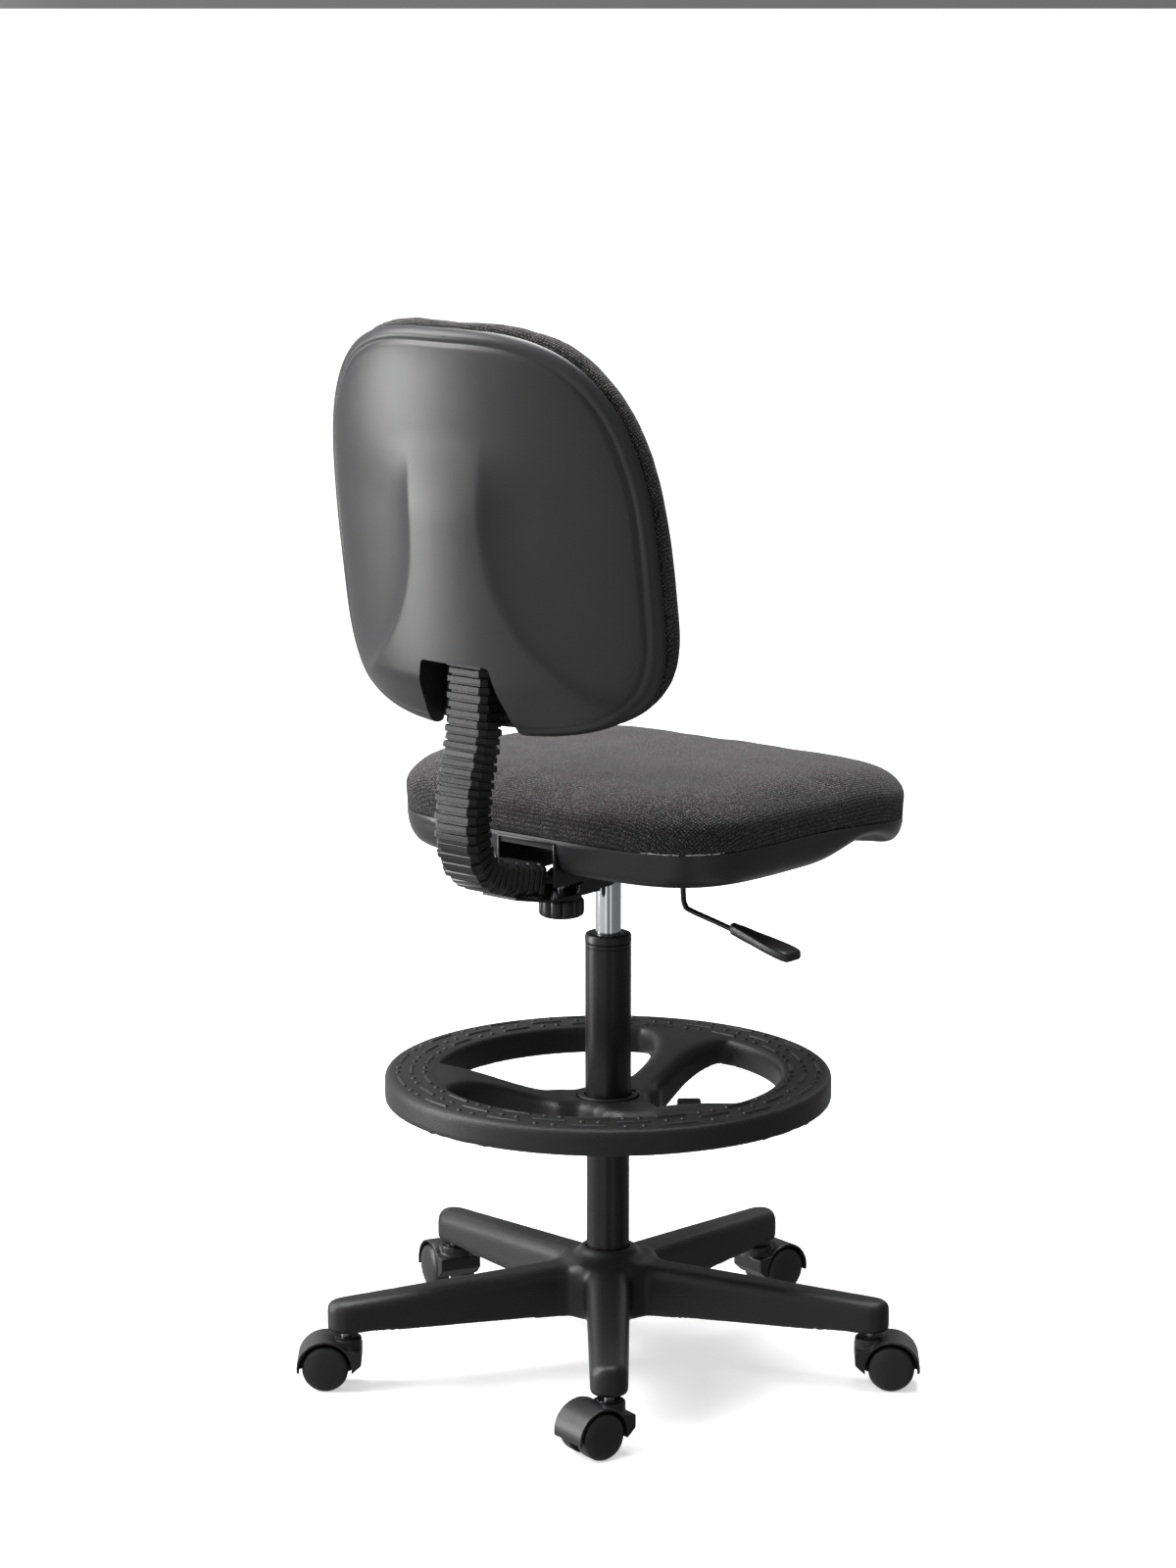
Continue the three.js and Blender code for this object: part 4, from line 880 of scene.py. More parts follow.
for k, turn in enumerate(casterShape["turns"], start=1):
    armTurn = math.radians(baseShape["firstArm"] + 72 * (k - 1))
    armPlace = Vector((math.cos(armTurn), math.sin(armTurn), 0)) * baseShape["stemRadius"]
    place = columnPlace @ Matrix.Translation(armPlace) @ Matrix.Rotation(math.radians(turn), 4, "Z")
    hood = placeCopy(hoodModel, f"casterHood{k}", place)
    finish(hood, f"caster_{k}", "caster_nylon", casterPlastic, f"caster_hood_{k}")
    finish(placeCopy(clipModel, f"casterClip{k}", place), f"caster_{k}", "caster_nylon", capPlastic)
    stem = placeCopy(stemModel, f"casterStem{k}", place)
    finish(stem, "base", "bright_steel", zincSteel, f"caster_stem_{k}")
    for side, end in (("left", 1), ("right", -1)):
        inside = end * (casterShape["web"] / 2 + 0.0006)
        offset = Matrix.Translation((casterShape["trail"], inside, casterShape["wheel"]))
        wheelPlace = place @ offset @ Matrix.Rotation(-end * math.pi / 2, 4, "X")
        wheel = placeCopy(wheelModel, f"casterWheel{side.capitalize()}{k}", wheelPlace)
        finish(wheel, f"caster_{k}_{side}_wheel", "caster_nylon", casterPlastic, f"wheel_{side}_{k}")
for model in (hoodModel, wheelModel, stemModel, clipModel):
    bpy.data.objects.remove(model, do_unlink=True)
print("stage: casters")


# Blows a pad up as cloth, moves no point further than cap, and then holds it off its neighbours.
def puff(obj, voxel, pressure, cap, hold):
    rest = obj.modifiers.new("remesh", "REMESH")
    rest.mode = "VOXEL"
    rest.voxel_size = voxel
    applyModifiers(obj)
    start = [v.co.copy() for v in obj.data.vertices]
    cloth = obj.modifiers.new("cloth", "CLOTH")
    cloth.settings.use_pressure = True
    cloth.settings.uniform_pressure_force = pressure
    cloth.settings.effector_weights.gravity = 0
    cloth.settings.quality = 5
    cloth.settings.tension_stiffness = 12
    cloth.settings.compression_stiffness = 12
    for step in range(1, 21):
        bpy.context.scene.frame_set(step)
    applyModifiers(obj)
    for vertex, before in zip(obj.data.vertices, start):
        move = vertex.co - before
        if move.length > cap:
            move = move.normalized() * cap
        vertex.co = before + move
    bpy.context.scene.frame_set(1)
    for vertex in obj.data.vertices:
        vertex.co = hold(vertex.co)
    smooth = obj.modifiers.new("smooth", "SMOOTH")
    smooth.iterations = 3
    more = obj.modifiers.new("more", "SUBSURF")
    more.levels = 1
    more.render_levels = 1
    applyModifiers(obj)
    for vertex in obj.data.vertices:
        vertex.co = hold(vertex.co)
    obj.data.shade_smooth()


# A rounded rectangle: the higher the power, the squarer its corners.
def outlineAt(turn, halfWidth, halfDepth, power):
    c, s = math.cos(turn), math.sin(turn)
    reach = (abs(c) ** power + abs(s) ** power) ** (-1 / power)
    return halfWidth * c * reach, halfDepth * s * reach


seatShape = {"width": 0.472, "depth": 0.444, "centreY": -0.080, "power": 4.6, "seam": 0.609,
             "frontDrop": 0.020, "margin": 0.008, "shellDepth": 0.039, "inset": 0.027, "wall": 0.0035,
             "height": 0.060, "bulge": 0.018, "notchWidth": 0.084, "notchTop": 0.598, "archHeight": 0.020,
             "archY": -0.172, "archSpread": 0.055}
seatRear = seatShape["centreY"] + seatShape["depth"] / 2


# The height of the seam between shell and cushion: level behind, falling towards the front edge.
def seamZ(y):
    ahead = max(0, (seatRear - 0.190 - y) / (seatShape["depth"] - 0.190))
    return seatShape["seam"] - seatShape["frontDrop"] * ahead ** 1.5


def seatRows(shape, shares, heightAt, around=128):
    rows = []
    for share in shares:
        row = []
        for i in range(around):
            x, y = outlineAt(2 * math.pi * i / around, shape["width"] / 2 * share, shape["depth"] / 2 * share,
                             shape["power"])
            y += shape["centreY"]
            row.append(Vector((x, y, heightAt(x, y, share))))
        rows.append(row)
    return rows


def buildSeatShell(shape):
    outerShare = 1 - shape["margin"] / (shape["width"] / 2)

    def underside(x, y, share):
        rimShare = 1 - shape["inset"] / (shape["width"] / 2)
        depth = shape["shellDepth"] - 0.009 * max(0, (shape["seam"] - seamZ(y)) / shape["frontDrop"])
        toSide = smoothstep(0.5, 0.95, abs(x) / (shape["width"] / 2))
        depth -= shape["archHeight"] * toSide * math.exp(-((y - shape["archY"]) / shape["archSpread"]) ** 2)
        rise = max(0, (share / outerShare - rimShare) / (1 - rimShare))
        return seamZ(y) - depth * math.sqrt(1 - min(rise, 1) ** 3.2)

    shares = [0.02, 0.3, 0.6, 0.78] + [between(0.87, 1, 1 - (1 - k / 17) ** 1.7) for k in range(18)]
    lip = [(1.0, 0.006), (1.0, 0.0012), (0.998, 0.0004), (0.992, 0.0004)]
    outer = loft("seatShellShape", seatRows(shape, [s * outerShare for s in shares], underside)[:-1]
                 + [row for share, drop in lip
                    for row in seatRows(shape, [share * outerShare], lambda x, y, s: seamZ(y) - drop)]
                 + seatRows(shape, [0.6, 0.02], lambda x, y, s: seamZ(y) - 0.0004))
    shrink = 1 - shape["wall"] / (shape["width"] / 2)
    inner = loft("seatShellInner", seatRows(shape, [s * outerShare * shrink for s in shares[:-1]],
                                            lambda x, y, s: underside(x, y, s / shrink) + shape["wall"])
                 + seatRows(shape, [outerShare * shrink * 0.999, 0.6, 0.02], lambda x, y, s: seamZ(y) + 0.02))
    combine(outer, inner, "DIFFERENCE")
    notch = roundedBlock("notchTool", (shape["notchWidth"], 0.13, 0.08),
                         (0, seatRear - 0.055, shape["notchTop"] - 0.04), 0.008)
    combine(outer, notch, "DIFFERENCE")
    opening = roundedBlock("openingTool", (0.226, 0.202, 0.06), (0, 0, shape["seam"] - shape["shellDepth"]),
                           0.006)
    combine(outer, opening, "DIFFERENCE")
    tidyNormals(outer, 32)
    outer.data.transform(columnPlace)
    return outer


seatShell = buildSeatShell(seatShape)
addBevel(seatShell, 0.0007, 2)
finish(seatShell, "seat", "shell_plastic", shellPlastic, "seat_shell")


def buildSeatCushion(shape):
    def top(x, y, share):
        across, along = x / (shape["width"] / 2), (y - shape["centreY"]) / (shape["depth"] / 2)
        dish = 0.008 * (1 - across * across) * (1 - along * along)
        slope = 0.003 * max(0, -along) ** 2
        edge = max(0, 1 - share ** 8) ** 0.5
        return seamZ(y) + shape["bulge"] + (shape["height"] - shape["bulge"] - dish - slope) * edge - 0.0015

    inset = 1 - shape["margin"] / (shape["width"] / 2)
    rows = seatRows(shape, [0.03, 0.3, 0.6, 0.85, inset - 0.004], lambda x, y, s: seamZ(y) + 0.001)
    for share, lift in ((inset + 0.004, 0.004), (0.985, 0.009), (0.990, 0.014)):
        rows += seatRows(shape, [share], lambda x, y, s: seamZ(y) + lift)
    tops = [0.991, 0.985, 0.972, 0.955, 0.93, 0.9, 0.85, 0.78, 0.7, 0.6, 0.45, 0.3, 0.15, 0.03]
    rows += seatRows(shape, tops, lambda x, y, s: top(x, y, s))
    pad = loft("seatCushionShape", rows)

    def hold(point):
        x, y, z = point
        low = seamZ(y) + 0.0006
        reach = max(abs(x) / (shape["width"] / 2), abs(y - shape["centreY"]) / (shape["depth"] / 2))
        if reach < inset - 0.004 and z < low + 0.012:
            z = low
        z = max(z, low)
        if z < low + 0.007:
            z = between(low, z, smoothstep(0, 0.007, z - low))
        rub = noise.noise(Vector((x * 9, y * 9, 3.1))) * 0.0018
        rub += noise.noise(Vector((x * 26, y * 26, z * 26))) * 0.0006
        corner = smoothstep(0.86, 0.99, abs(x) / (shape["width"] / 2)) * smoothstep(
            0.80, 0.98, abs(y - shape["centreY"]) / (shape["depth"] / 2))
        fold = math.sin((x + y) * 420) * 0.0007 * corner
        lift = smoothstep(0.02, 0.05, z - seamZ(y))
        return Vector((x, y, z + rub * lift + fold))

    puff(pad, 0.005, 4.0, 0.006, hold)
    pad.data.transform(columnPlace)
    return pad


seatCushion = buildSeatCushion(seatShape)
finish(seatCushion, "seat", "fabric", wovenFabric, "seat_cushion")
print("stage: seat", len(seatCushion.data.vertices))


backShape = {"y": 0.219, "z": 0.945, "recline": 8, "width": 0.446, "widestZ": -0.075, "above": 0.292,
             "below": 0.142, "powerAbove": 3.1, "powerBelow": 3.4, "wrapRadius": 0.520, "crown": 0.020,
             "spine": 0.012, "spineWidth": 0.095, "lip": 0.0115, "shrink": 0.974, "wall": 0.0035,
             "cushion": 0.046, "slotTop": -0.133, "slotHalf": 0.0475, "slotFlare": 0.062,
             "creaseStep": 0.0125, "creaseSoft": 0.0016, "creaseRun": 0.022}
backPlace = (columnPlace @ Matrix.Translation((0, backShape["y"], backShape["z"]))
             @ Matrix.Rotation(math.radians(-backShape["recline"]), 4, "X"))
halfTall = (backShape["above"] + backShape["below"]) / 2


def backWrap(x):
    return -(x * x) / (2 * backShape["wrapRadius"])


def backOutline(turn, share):
    up = math.sin(turn) >= 0
    tall = backShape["above"] if up else backShape["below"]
    power = backShape["powerAbove"] if up else backShape["powerBelow"]
    x, z = outlineAt(turn, backShape["width"] / 2 * share, tall * share, power)
    return x, z + backShape["widestZ"]


def backRows(shares, depthAt, around=200):
    return [[Vector((x, depthAt(x, z, share, math.hypot(x, z - backShape["widestZ"]) / max(share, 1e-6)), z))
             for x, z in (backOutline(2 * math.pi * i / around, share) for i in range(around))]
            for share in shares]


# How far the shell stands behind its own plane: wrap, crown, middle ridge with a crease beside it, and rim.
def shellBulge(x, z, share, reach):
    edge = math.sqrt(max(0, 1 - share ** 5))
    down = min(max((0.42 - z / halfTall) / 1.3, 0), 1)
    ridge = math.exp(-((abs(x) / (backShape["spineWidth"] * (0.8 + 1.1 * down ** 2))) ** 2.4))
    swell = backShape["lip"] + backShape["crown"] * edge
    worldZ = backShape["z"] + z * 0.99 - 0.006
    crease = 0.048 + 0.1 * max(-0.2, (0.985 - worldZ) / 0.208) ** 3
    past = abs(x) - crease
    rounded = (past + math.sqrt(past * past + backShape["creaseSoft"] ** 2)) / 2
    fade = smoothstep(1.045, 0.955, worldZ) * smoothstep(0.748, 0.79, worldZ)
    step = backShape["creaseStep"] * (math.exp(-rounded / backShape["creaseRun"]) - 0.3) * fade
    inward = (1 - share) * reach
    rim = 0.35 + 0.65 * smoothstep(-0.14, 0.0, z)
    raised = 0.0014 * math.exp(-((inward - 0.006) / 0.004) ** 2)
    band = raised - 0.0018 * math.exp(-((inward - 0.0135) / 0.0026) ** 2)
    spine = backShape["spine"] * ridge * down ** 0.8 * edge ** 0.5
    return backWrap(x) + swell + spine + step * edge + band * rim


def slotOutline(grow, y, shape):
    top, half, flare = (shape[key] + grow for key in ("slotTop", "slotHalf", "slotFlare"))
    corner = 0.007
    floor = -0.26
    slope = (flare - half) / (-0.217 - shape["slotTop"])
    points = [(half + slope * (floor - shape["slotTop"]), floor)]
    points += [(half + slope * (z - shape["slotTop"]), z) for z in (-0.235, -0.21, -0.19, -0.17, -0.155)]
    for k in range(7):
        turn = math.radians(90 * k / 6)
        points.append((half - corner * (1 - math.cos(turn)), top - corner * (1 - math.sin(turn))))
    return [Vector((x, y, z)) for x, z in points + [(-x, z) for x, z in reversed(points)]]


def buildBackShell(shape):
    shares = [between(0.02, 0.82, k / 44) for k in range(45)]
    shares += [between(0.84, 0.99, k / 24) for k in range(25)] + [0.994, 0.997, 0.999, 1.0]
    front = shape["lip"] - 0.003
    small = shape["shrink"]

    def solid(name, frontDepth, shrink, wall):
        rear = backRows([s * shrink * small for s in shares],
                        lambda x, z, s, reach: shellBulge(x, z, s / shrink / small, reach * small) - wall)
        ahead = backRows([s * shrink * small for s in (0.985, 0.7, 0.4, 0.02)],
                         lambda x, z, s, reach: backWrap(x) + frontDepth)
        return loft(name, rear + ahead, 32)

    outer = solid("backShellShape", front, 1, 0)
    shrink = 1 - shape["wall"] / (shape["width"] / 2)
    hollow = solid("backShellInner", -0.02, shrink, shape["wall"])
    channel = loft("channelTool", [slotOutline(0.003, y, shape) for y in (-0.05, 0.14)])
    combine(hollow, channel, "DIFFERENCE")
    slot = loft("slotTool", [slotOutline(0, y, shape) for y in (-0.01, 0.13)])
    combine(outer, slot, "DIFFERENCE")
    combine(outer, hollow, "DIFFERENCE")
    tidyNormals(outer, 38)
    outer.data.transform(backPlace)
    return outer


backShell = buildBackShell(backShape)
addBevel(backShell, 0.0010, 2)
finish(backShell, "backrest", "shell_plastic", shellPlastic, "back_shell")
print("stage: back shell", len(backShell.data.vertices))


def buildBackCushion(shape):
    def frontDepth(x, z, share, reach):
        edge = math.sqrt(max(0, 1 - share ** 6))
        lumbar = 0.006 * math.exp(-(((z + 0.07) / 0.09) ** 2))
        return backWrap(x) - 0.004 - (shape["cushion"] - 0.012 + lumbar) * edge

    rear = shape["lip"] - 0.0045
    rows = backRows([0.03, 0.3, 0.6, 0.88], lambda x, z, s, reach: backWrap(x) - 0.0010)
    rows += backRows([0.90, 0.966], lambda x, z, s, reach: backWrap(x) + rear)
    for share, depth in ((0.986, rear - 0.001), (0.996, rear - 0.0045), (1.0, -0.001)):
        rows += backRows([share], lambda x, z, s, reach: backWrap(x) + depth)
    fronts = [0.999, 0.99, 0.97, 0.95, 0.92, 0.88, 0.82, 0.74, 0.64, 0.5, 0.35, 0.2, 0.03]
    rows += backRows(fronts, frontDepth)
    pad = loft("backCushionShape", rows)

    def hold(point):
        x, y, z = point
        y = min(y, backWrap(x) + shape["lip"] - 0.0036)
        rub = noise.noise(Vector((x * 10, z * 10, 7.7))) * 0.0015
        return Vector((x, y - max(rub, -0.001) * smoothstep(0.01, 0.03, backWrap(x) - y), z))

    puff(pad, 0.005, 4.0, 0.005, hold)
    pad.data.transform(backPlace)
    return pad


backCushion = buildBackCushion(backShape)
finish(backCushion, "backrest", "fabric", wovenFabric, "back_cushion")
print("stage: back cushion")


bellowsShape = {"width": 0.057, "depth": 0.036, "top": 0.836, "pitch": 0.0088, "valley": 0.0021, "lean": 8}


# The height of the bar's sloping leg.
def legHeight(y):
    return 0.565 + (y - 0.142) * 0.2


def buildBellows(shape):
    lean = math.tan(math.radians(shape["lean"]))
    line = [(0.135, legHeight(0.135)), (0.186, legHeight(0.186)), (0.206, legHeight(0.206) + 0.002),
            (0.222, 0.591), (0.231, 0.608), (0.2345, 0.628), (0.234, 0.652), (0.231, 0.675), (0.225, 0.700),
            (0.219, 0.725), (0.2155, 0.760), (0.2145, 0.800), (0.2145 + lean * 0.036, shape["top"])]
    curve = smoothLine([Vector((0, y, z)) for y, z in line], 12)
    lengths = [0.0]
    for a, b in zip(curve, curve[1:]):
        lengths.append(lengths[-1] + (b - a).length)

    def at(distance):
        distance = min(max(distance, 0), lengths[-1])
        k = next((i for i in range(len(lengths) - 1) if lengths[i + 1] >= distance), len(lengths) - 2)
        share = (distance - lengths[k]) / max(lengths[k + 1] - lengths[k], 1e-9)
        return curve[k].lerp(curve[k + 1], share)

    def section(inset, notch):
        w, d = shape["width"] / 2 - inset, shape["depth"] / 2 - inset
        c = 0.0052 + notch
        corner = [(w, -d + c), (w, d - c), (w - 0.0012, d - c + 0.0012), (w - c, d - 0.0008),
                  (w - c - 0.0008, d)]
        half = [(w - c, -d), *corner]
        return half + [(-x, y) for x, y in reversed(half)]

    ribs = int(lengths[-1] / shape["pitch"])
    pitch = lengths[-1] / ribs
    rows = []
    for rib in range(ribs):
        tooth = 0.0022 if rib % 2 else 0.0  # every other rib has its corners cut further
        run = (at((rib + 0.9) * pitch) - at((rib + 0.1) * pitch)).normalized()
        side = Vector((0, -run.z, run.y))
        for share, inset in ((0.0, shape["valley"]), (0.17, shape["valley"]), (0.21, 0.0006), (0.27, 0.0),
                             (0.86, 0.0003), (0.92, 0.0009), (0.98, shape["valley"])):
            point = at((rib + 0.5) * pitch) + run * (share - 0.5) * pitch
            rows.append([point + Vector((x, 0, 0)) + side * -out for x, out in section(inset, tooth)])
    return loft("barCoverShape", rows, 24)


bellows = buildBellows(bellowsShape)
bellows.data.transform(columnPlace)
bellows.data.materials.append(bellowsPlastic)
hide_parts("bellows")
applyModifiers(bellows)
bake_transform(bellows)
print("stage: bar cover", len(bellows.data.vertices))


housingShape = {"width": 0.080, "long": 0.105, "middleY": 0.0835, "wallZ": 0.5815, "wallHeight": 0.048,
                "roofZ": 0.6045, "sheet": 0.0035, "roof": 0.003}


def buildHousing(shape):
    parts = []
    for end in (1, -1):
        size = (shape["sheet"], shape["long"], shape["wallHeight"])
        middle = (end * 0.0385, shape["middleY"], shape["wallZ"])
        parts.append(roundedBlock("housingWall", size, middle, 0.0012))
    size = (shape["width"], shape["long"], shape["roof"])
    parts.append(roundedBlock("housingRoof", size, (0, shape["middleY"], shape["roofZ"]), 0.0012))
    housing = joinObjects("barHousing", parts)
    housing.data.transform(columnPlace)
    block = roundedBlock("railBlockShape", (0.004, 0.016, 0.013), (-0.0355, 0.118, 0.594), 0.0009)
    boss = lathe("railBoss", [(0, 0), (0.0052, 0), (0.0052, 0.0025), (0.0042, 0.0032), (0, 0.0032)], 28)
    boss.data.transform(Matrix.Translation((-0.0366, 0.101, 0.593)) @ Matrix.Rotation(math.pi / 2, 4, "Y"))
    detail = joinObjects("railBlock", [block, boss])
    detail.data.transform(columnPlace)
    return housing, detail


barHousing, railBlock = buildHousing(housingShape)
finish(barHousing, "seat", "mechanism_steel", blackPaint)
finish(railBlock, "seat", "bright_steel", zincSteel)


linkShape = {"pivotY": 0.030, "pivotZ": 0.551, "knobY": 0.078, "knobRadius": 0.0245, "knobHeight": 0.021,
             "knobTop": 0.532, "width": 0.055, "sheet": 0.003, "bore": 0.0044, "coilRadius": 0.0072,
             "coilHalf": 0.014, "coilTurns": 4, "flutes": 11, "fluteDepth": 0.0030}


def buildBracket(shape):
    flat = shape["pivotZ"] - 0.0115
    line = smoothLine([Vector((0, y, z)) for y, z in (
        (0.046, flat), (0.085, flat), (shape["knobY"] + 0.040, flat), (0.135, legHeight(0.135) - 0.0215),
        (0.178, legHeight(0.178) - 0.0215))], 6)
    rows = []
    for i, point in enumerate(line):
        run = (line[min(i + 1, len(line) - 1)] - line[max(i - 1, 0)]).normalized()
        side = Vector((0, -run.z, run.y)) * shape["sheet"] / 2
        half = Vector((shape["width"] / 2 - 0.004 * smoothstep(0.15, 0.178, point.y), 0, 0))
        rows.append([point - half - side, point + half - side, point + half + side, point - half + side])
    web = loft("tiltBracketShape", rows, 30)
    for end in (1, -1):
        outline = [(shape["pivotY"] + 0.0105 * math.cos(a), shape["pivotZ"] + 0.0105 * math.sin(a))
                   for a in (math.radians(75 + 195 * k / 16) for k in range(17))]
        outline += [(shape["knobY"] + 0.004, shape["pivotZ"] - 0.0105), (shape["knobY"], shape["pivotZ"]),
                    (shape["knobY"] - 0.014, shape["pivotZ"] + 0.007)]
        inside, outside = (0.0245, 0.0275) if end > 0 else (-0.0275, -0.0245)
        lug = loft("lug", [[Vector((x, y, z)) for y, z in outline] for x in (inside, outside)], 30)
        combine(web, lug, "UNION")
    for x in (0.013, -0.013):
        slit = roundedBlock("slitTool", (0.005, 0.030, 0.05), (x, 0.152, 0.545), 0.0018)
        combine(web, slit, "DIFFERENCE")
    hole = shape["bore"]
    bore = lathe("boreTool", [(0, -0.05), (hole, -0.05), (hole, 0.05), (0, 0.05)], 24)
    bore.data.transform(Matrix.Translation((0, shape["pivotY"], shape["pivotZ"]))
                        @ Matrix.Rotation(math.pi / 2, 4, "Y"))
    combine(web, bore, "DIFFERENCE")
    stud = lathe("studTool", [(0, 0.5), (hole, 0.5), (hole, 0.6), (0, 0.6)], 24)
    stud.data.transform(Matrix.Translation((0, shape["knobY"], 0)))
    combine(web, stud, "DIFFERENCE")
    tidyNormals(web, 30)
    web.data.transform(columnPlace)
    return web


tiltBracket = buildBracket(linkShape)
addBevel(tiltBracket, 0.0004, 2)
finish(tiltBracket, "tilt_arm", "mechanism_steel", blackPaint, "tilt_bracket")


def buildSpring(shape):
    steps = 128
    line = []
    for i in range(steps + 1):
        turn = i / steps * shape["coilTurns"] * 2 * math.pi
        line.append(Vector((between(-shape["coilHalf"], shape["coilHalf"], i / steps),
                            shape["pivotY"] + shape["coilRadius"] * math.cos(turn),
                            shape["pivotZ"] + shape["coilRadius"] * math.sin(turn))))
    coil = sweep("tiltSpringCoil", line, 0.0014, 10)
    coil.data.transform(columnPlace)
    return coil


tiltSpring = buildSpring(linkShape)
finish(tiltSpring, "seat", "mechanism_steel", zincSteel, "tilt_spring")


def buildKnob(shape):
    top, low = shape["knobTop"], shape["knobTop"] - shape["knobHeight"]
    around = 176
    rows = []
    for z, reach, flute in ((low, 0.30, 0), (low + 0.0003, 0.55, 0), (low + 0.0012, 0.76, 0.15),
                            (low + 0.0022, 0.885, 0.5), (low + 0.0036, 0.955, 0.8), (low + 0.0056, 0.99, 1),
                            (low + 0.0085, 1, 1), (top - 0.003, 1, 1), (top - 0.0012, 0.985, 1),
                            (top - 0.0002, 0.955, 0.9), (top, 0.9, 0.8), (top, 0.3, 0)):
        row = []
        for i in range(around):
            turn = 2 * math.pi * i / around
            wave = abs(math.sin(turn * shape["flutes"] / 2)) ** 0.55
            radius = shape["knobRadius"] * reach - shape["fluteDepth"] * flute * (1 - wave)
            row.append(Vector((radius * math.cos(turn), radius * math.sin(turn), z)))
        rows.append(row)
    knob = loft("barKnobShape", rows, 45)
    hole = lathe("holeTool", [(0, top - 0.012), (shape["bore"], top - 0.012), (shape["bore"], top + 0.01),
                              (0, top + 0.01)], 24)
    combine(knob, hole, "DIFFERENCE")
    tidyNormals(knob, 45)
    knob.data.transform(columnPlace @ Matrix.Translation((0, shape["knobY"], 0)))
    return knob


barKnob = buildKnob(linkShape)
finish(barKnob, "bar_lock", "knob_plastic", knobPlastic, "bar_knob")

leverShape = {"z": 0.592, "hinge": -0.022, "drop": -0.101, "elbow": 0.524, "tip": -0.176, "tipZ": 0.509,
              "radius": 0.003, "inner": -0.170, "outer": -0.252, "innerZ": 0.510, "outerZ": 0.492,
              "width": 0.029, "thick": 0.0125}


def buildLever(shape):
    high, drop, elbow = shape["z"], shape["drop"], shape["elbow"]
    corners = [(0.004, high + 0.0006), (shape["hinge"], high + 0.0006), (-0.06, high + 0.0003),
               (drop + 0.012, high), (drop + 0.003, high - 0.0035), (drop, high - 0.012),
               (drop - 0.0015, 0.558), (drop - 0.003, elbow + 0.008), (drop - 0.0055, elbow + 0.0015),
               (drop - 0.011, elbow - 0.0025),
               (-0.15, 0.5133), (shape["tip"] - 0.016, shape["tipZ"] - 0.005)]
    rod = sweep("leverRodShape", smoothLine([Vector((x, 0, z)) for x, z in corners], 6), shape["radius"], 20)
    rows = []
    for share, wide, thick in ((0, 0.30, 0.92), (0.01, 0.36, 1.05), (0.10, 0.38, 1.1), (0.13, 0.44, 1.12),
                               (0.2, 0.5, 1.1), (0.35, 0.62, 1.02), (0.5, 0.78, 0.98), (0.65, 0.92, 0.94),
                               (0.8, 1.0, 0.92), (0.9, 1.0, 0.9), (0.95, 0.96, 0.86), (0.985, 0.88, 0.78),
                               (1.0, 0.78, 0.6)):
        x = shape["inner"] + (shape["outer"] - shape["inner"]) * share
        z = between(shape["innerZ"], shape["outerZ"], share)
        half = shape["thick"] * thick / 2
        section = roundedSection(shape["width"] * wide, -half, half, half * 0.7, half * 0.6, 4)
        rows.append([Vector((x, across, z + up)) for across, up in section])
    paddle = loft("leverPaddleShape", rows, 40)
    boreEnds = [Vector((drop - 0.012, 0, elbow - 0.0028)),
                Vector((shape["tip"] - 0.017, 0, shape["tipZ"] - 0.0053))]
    bore = sweep("paddleBore", boreEnds, shape["radius"] + 0.0004, 20)
    combine(paddle, bore, "DIFFERENCE")
    tidyNormals(paddle, 40)
    for obj in (rod, paddle):
        obj.data.transform(columnPlace)
    return rod, paddle


leverRod, leverPaddle = buildLever(leverShape)
finish(leverRod, "gas_lever", "mechanism_steel", blackPaint, "lever_rod")
finish(leverPaddle, "gas_lever", "knob_plastic", knobPlastic, "lever_paddle")
print("stage: mechanism")


# The camera is placed from the column's axis. Each lamp has its place, size and power.
stageShape = {"camera": (-2.9550, 3.5556, 1.5739), "tilt": 11.383, "turn": 220, "lens": 101.06, "aimZ": 0.6,
              "floorEnds": (-60, 1.25), "floorHalf": 40, "floorTurn": 40, "fade": 6.0, "room": 0.95,
              "roomShades": [(0.0, 0.16), (0.22, 0.2), (0.30, 0.62), (0.36, 0.58), (0.42, 0.16), (0.56, 0.2),
                             (0.66, 0.9), (0.8, 0.5), (1.0, 0.65)],
              "lamps": {"keyPanel": ((2.7, 2.1, 2.9), 2.2, 165), "topPanel": ((0.3, -0.3, 3.4), 2.0, 165),
                        "lowPanel": ((3.0, 2.2, 0.5), 1.4, 80)}}


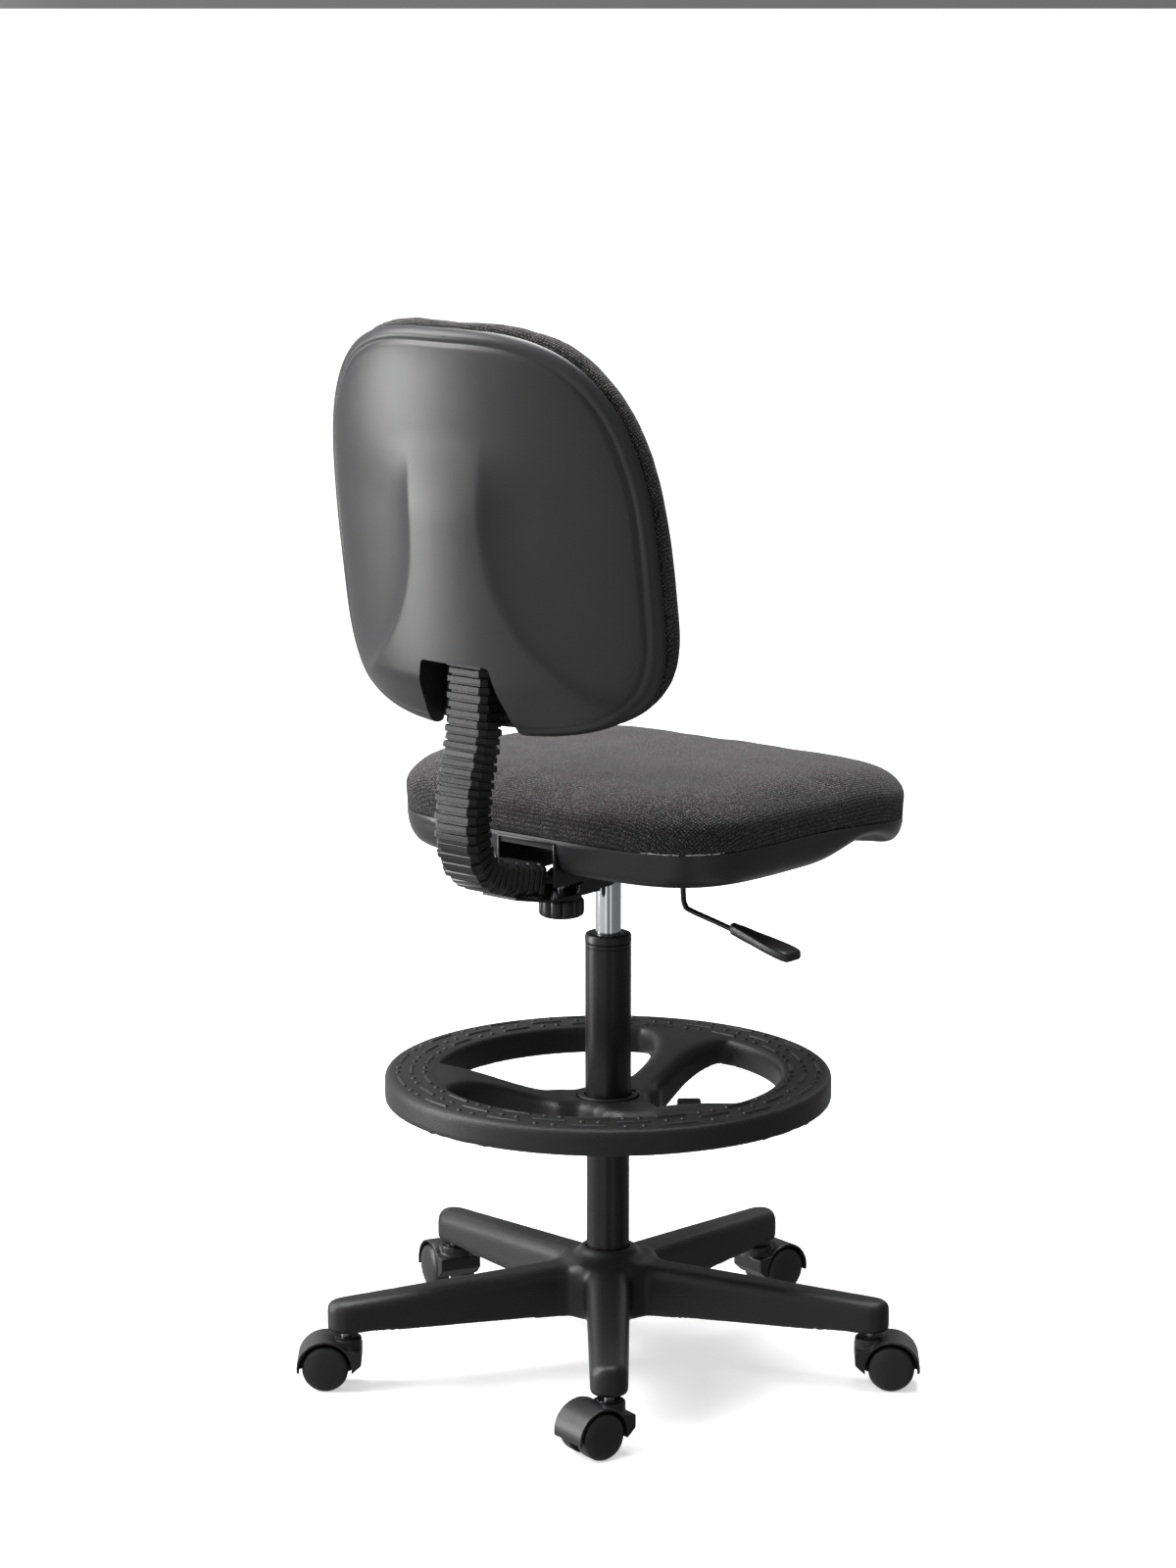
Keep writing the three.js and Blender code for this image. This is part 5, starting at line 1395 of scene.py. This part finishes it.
def buildStage(shape):
    floorMaterial, tree, shader = newMaterial("floorPaper", 0.95)
    shader.inputs["Base Color"].default_value = (0.92, 0.92, 0.92, 1)
    coords = tree.nodes.new("ShaderNodeTexCoord").outputs["Object"]
    away = tree.nodes.new("ShaderNodeVectorMath")
    away.operation = "LENGTH"
    tree.links.new(coords, away.inputs[0])
    reach = mathNode(tree, "DIVIDE", away.outputs["Value"], shape["fade"])
    tree.links.new(rampNode(tree, reach, [(0.1, 0.5), (0.95, 1.0)]), shader.inputs["Emission Color"])
    shader.inputs["Emission Strength"].default_value = 1.0
    corners = [(x, y, 0) for y in shape["floorEnds"] for x in (-shape["floorHalf"], shape["floorHalf"])]
    floor = makeObject("floorSheet", corners, [(0, 1, 3, 2)])
    floor.rotation_euler = (0, 0, math.radians(shape["floorTurn"]))
    floor.visible_diffuse = False
    floor.visible_glossy = False
    floor.data.materials.append(floorMaterial)
    world = bpy.data.worlds.new("softRoom")
    world.use_nodes = True
    sky = world.node_tree.nodes["Background"]
    facing = world.node_tree.nodes.new("ShaderNodeTexCoord").outputs["Generated"]
    leftward = world.node_tree.nodes.new("ShaderNodeVectorMath")
    leftward.operation = "DOT_PRODUCT"
    leftward.inputs[1].default_value = (0.385, 0.32, 0)
    world.node_tree.links.new(facing, leftward.inputs[0])
    panels = mathNode(world.node_tree, "ADD", leftward.outputs["Value"], 0.5)
    world.node_tree.links.new(rampNode(world.node_tree, panels, shape["roomShades"]), sky.inputs["Color"])
    sky.inputs["Strength"].default_value = shape["room"]
    bpy.context.scene.world = world
    for name, (place, size, power) in shape["lamps"].items():
        lamp = bpy.data.lights.new(name, "AREA")
        lamp.shape = "SQUARE"
        lamp.size = size
        lamp.energy = power
        obj = bpy.data.objects.new(name, lamp)
        obj.location = place
        aim = Vector((0, 0, shape["aimZ"])) - Vector(place)
        obj.rotation_euler = aim.to_track_quat("-Z", "Y").to_euler()
        bpy.context.scene.collection.objects.link(obj)
    camera = bpy.data.cameras.new("mainCamera")
    camera.lens = shape["lens"]
    camera.sensor_width = 36
    camera.sensor_fit = "AUTO"
    eye = bpy.data.objects.new("mainCamera", camera)
    eye.location = columnPlace @ Vector(shape["camera"])
    eye.rotation_euler = (math.radians(90 - shape["tilt"]), 0, math.radians(shape["turn"]))
    bpy.context.scene.collection.objects.link(eye)
    bpy.context.scene.camera = eye
    bpy.context.scene.view_settings.view_transform = "Standard"


buildStage(stageShape)
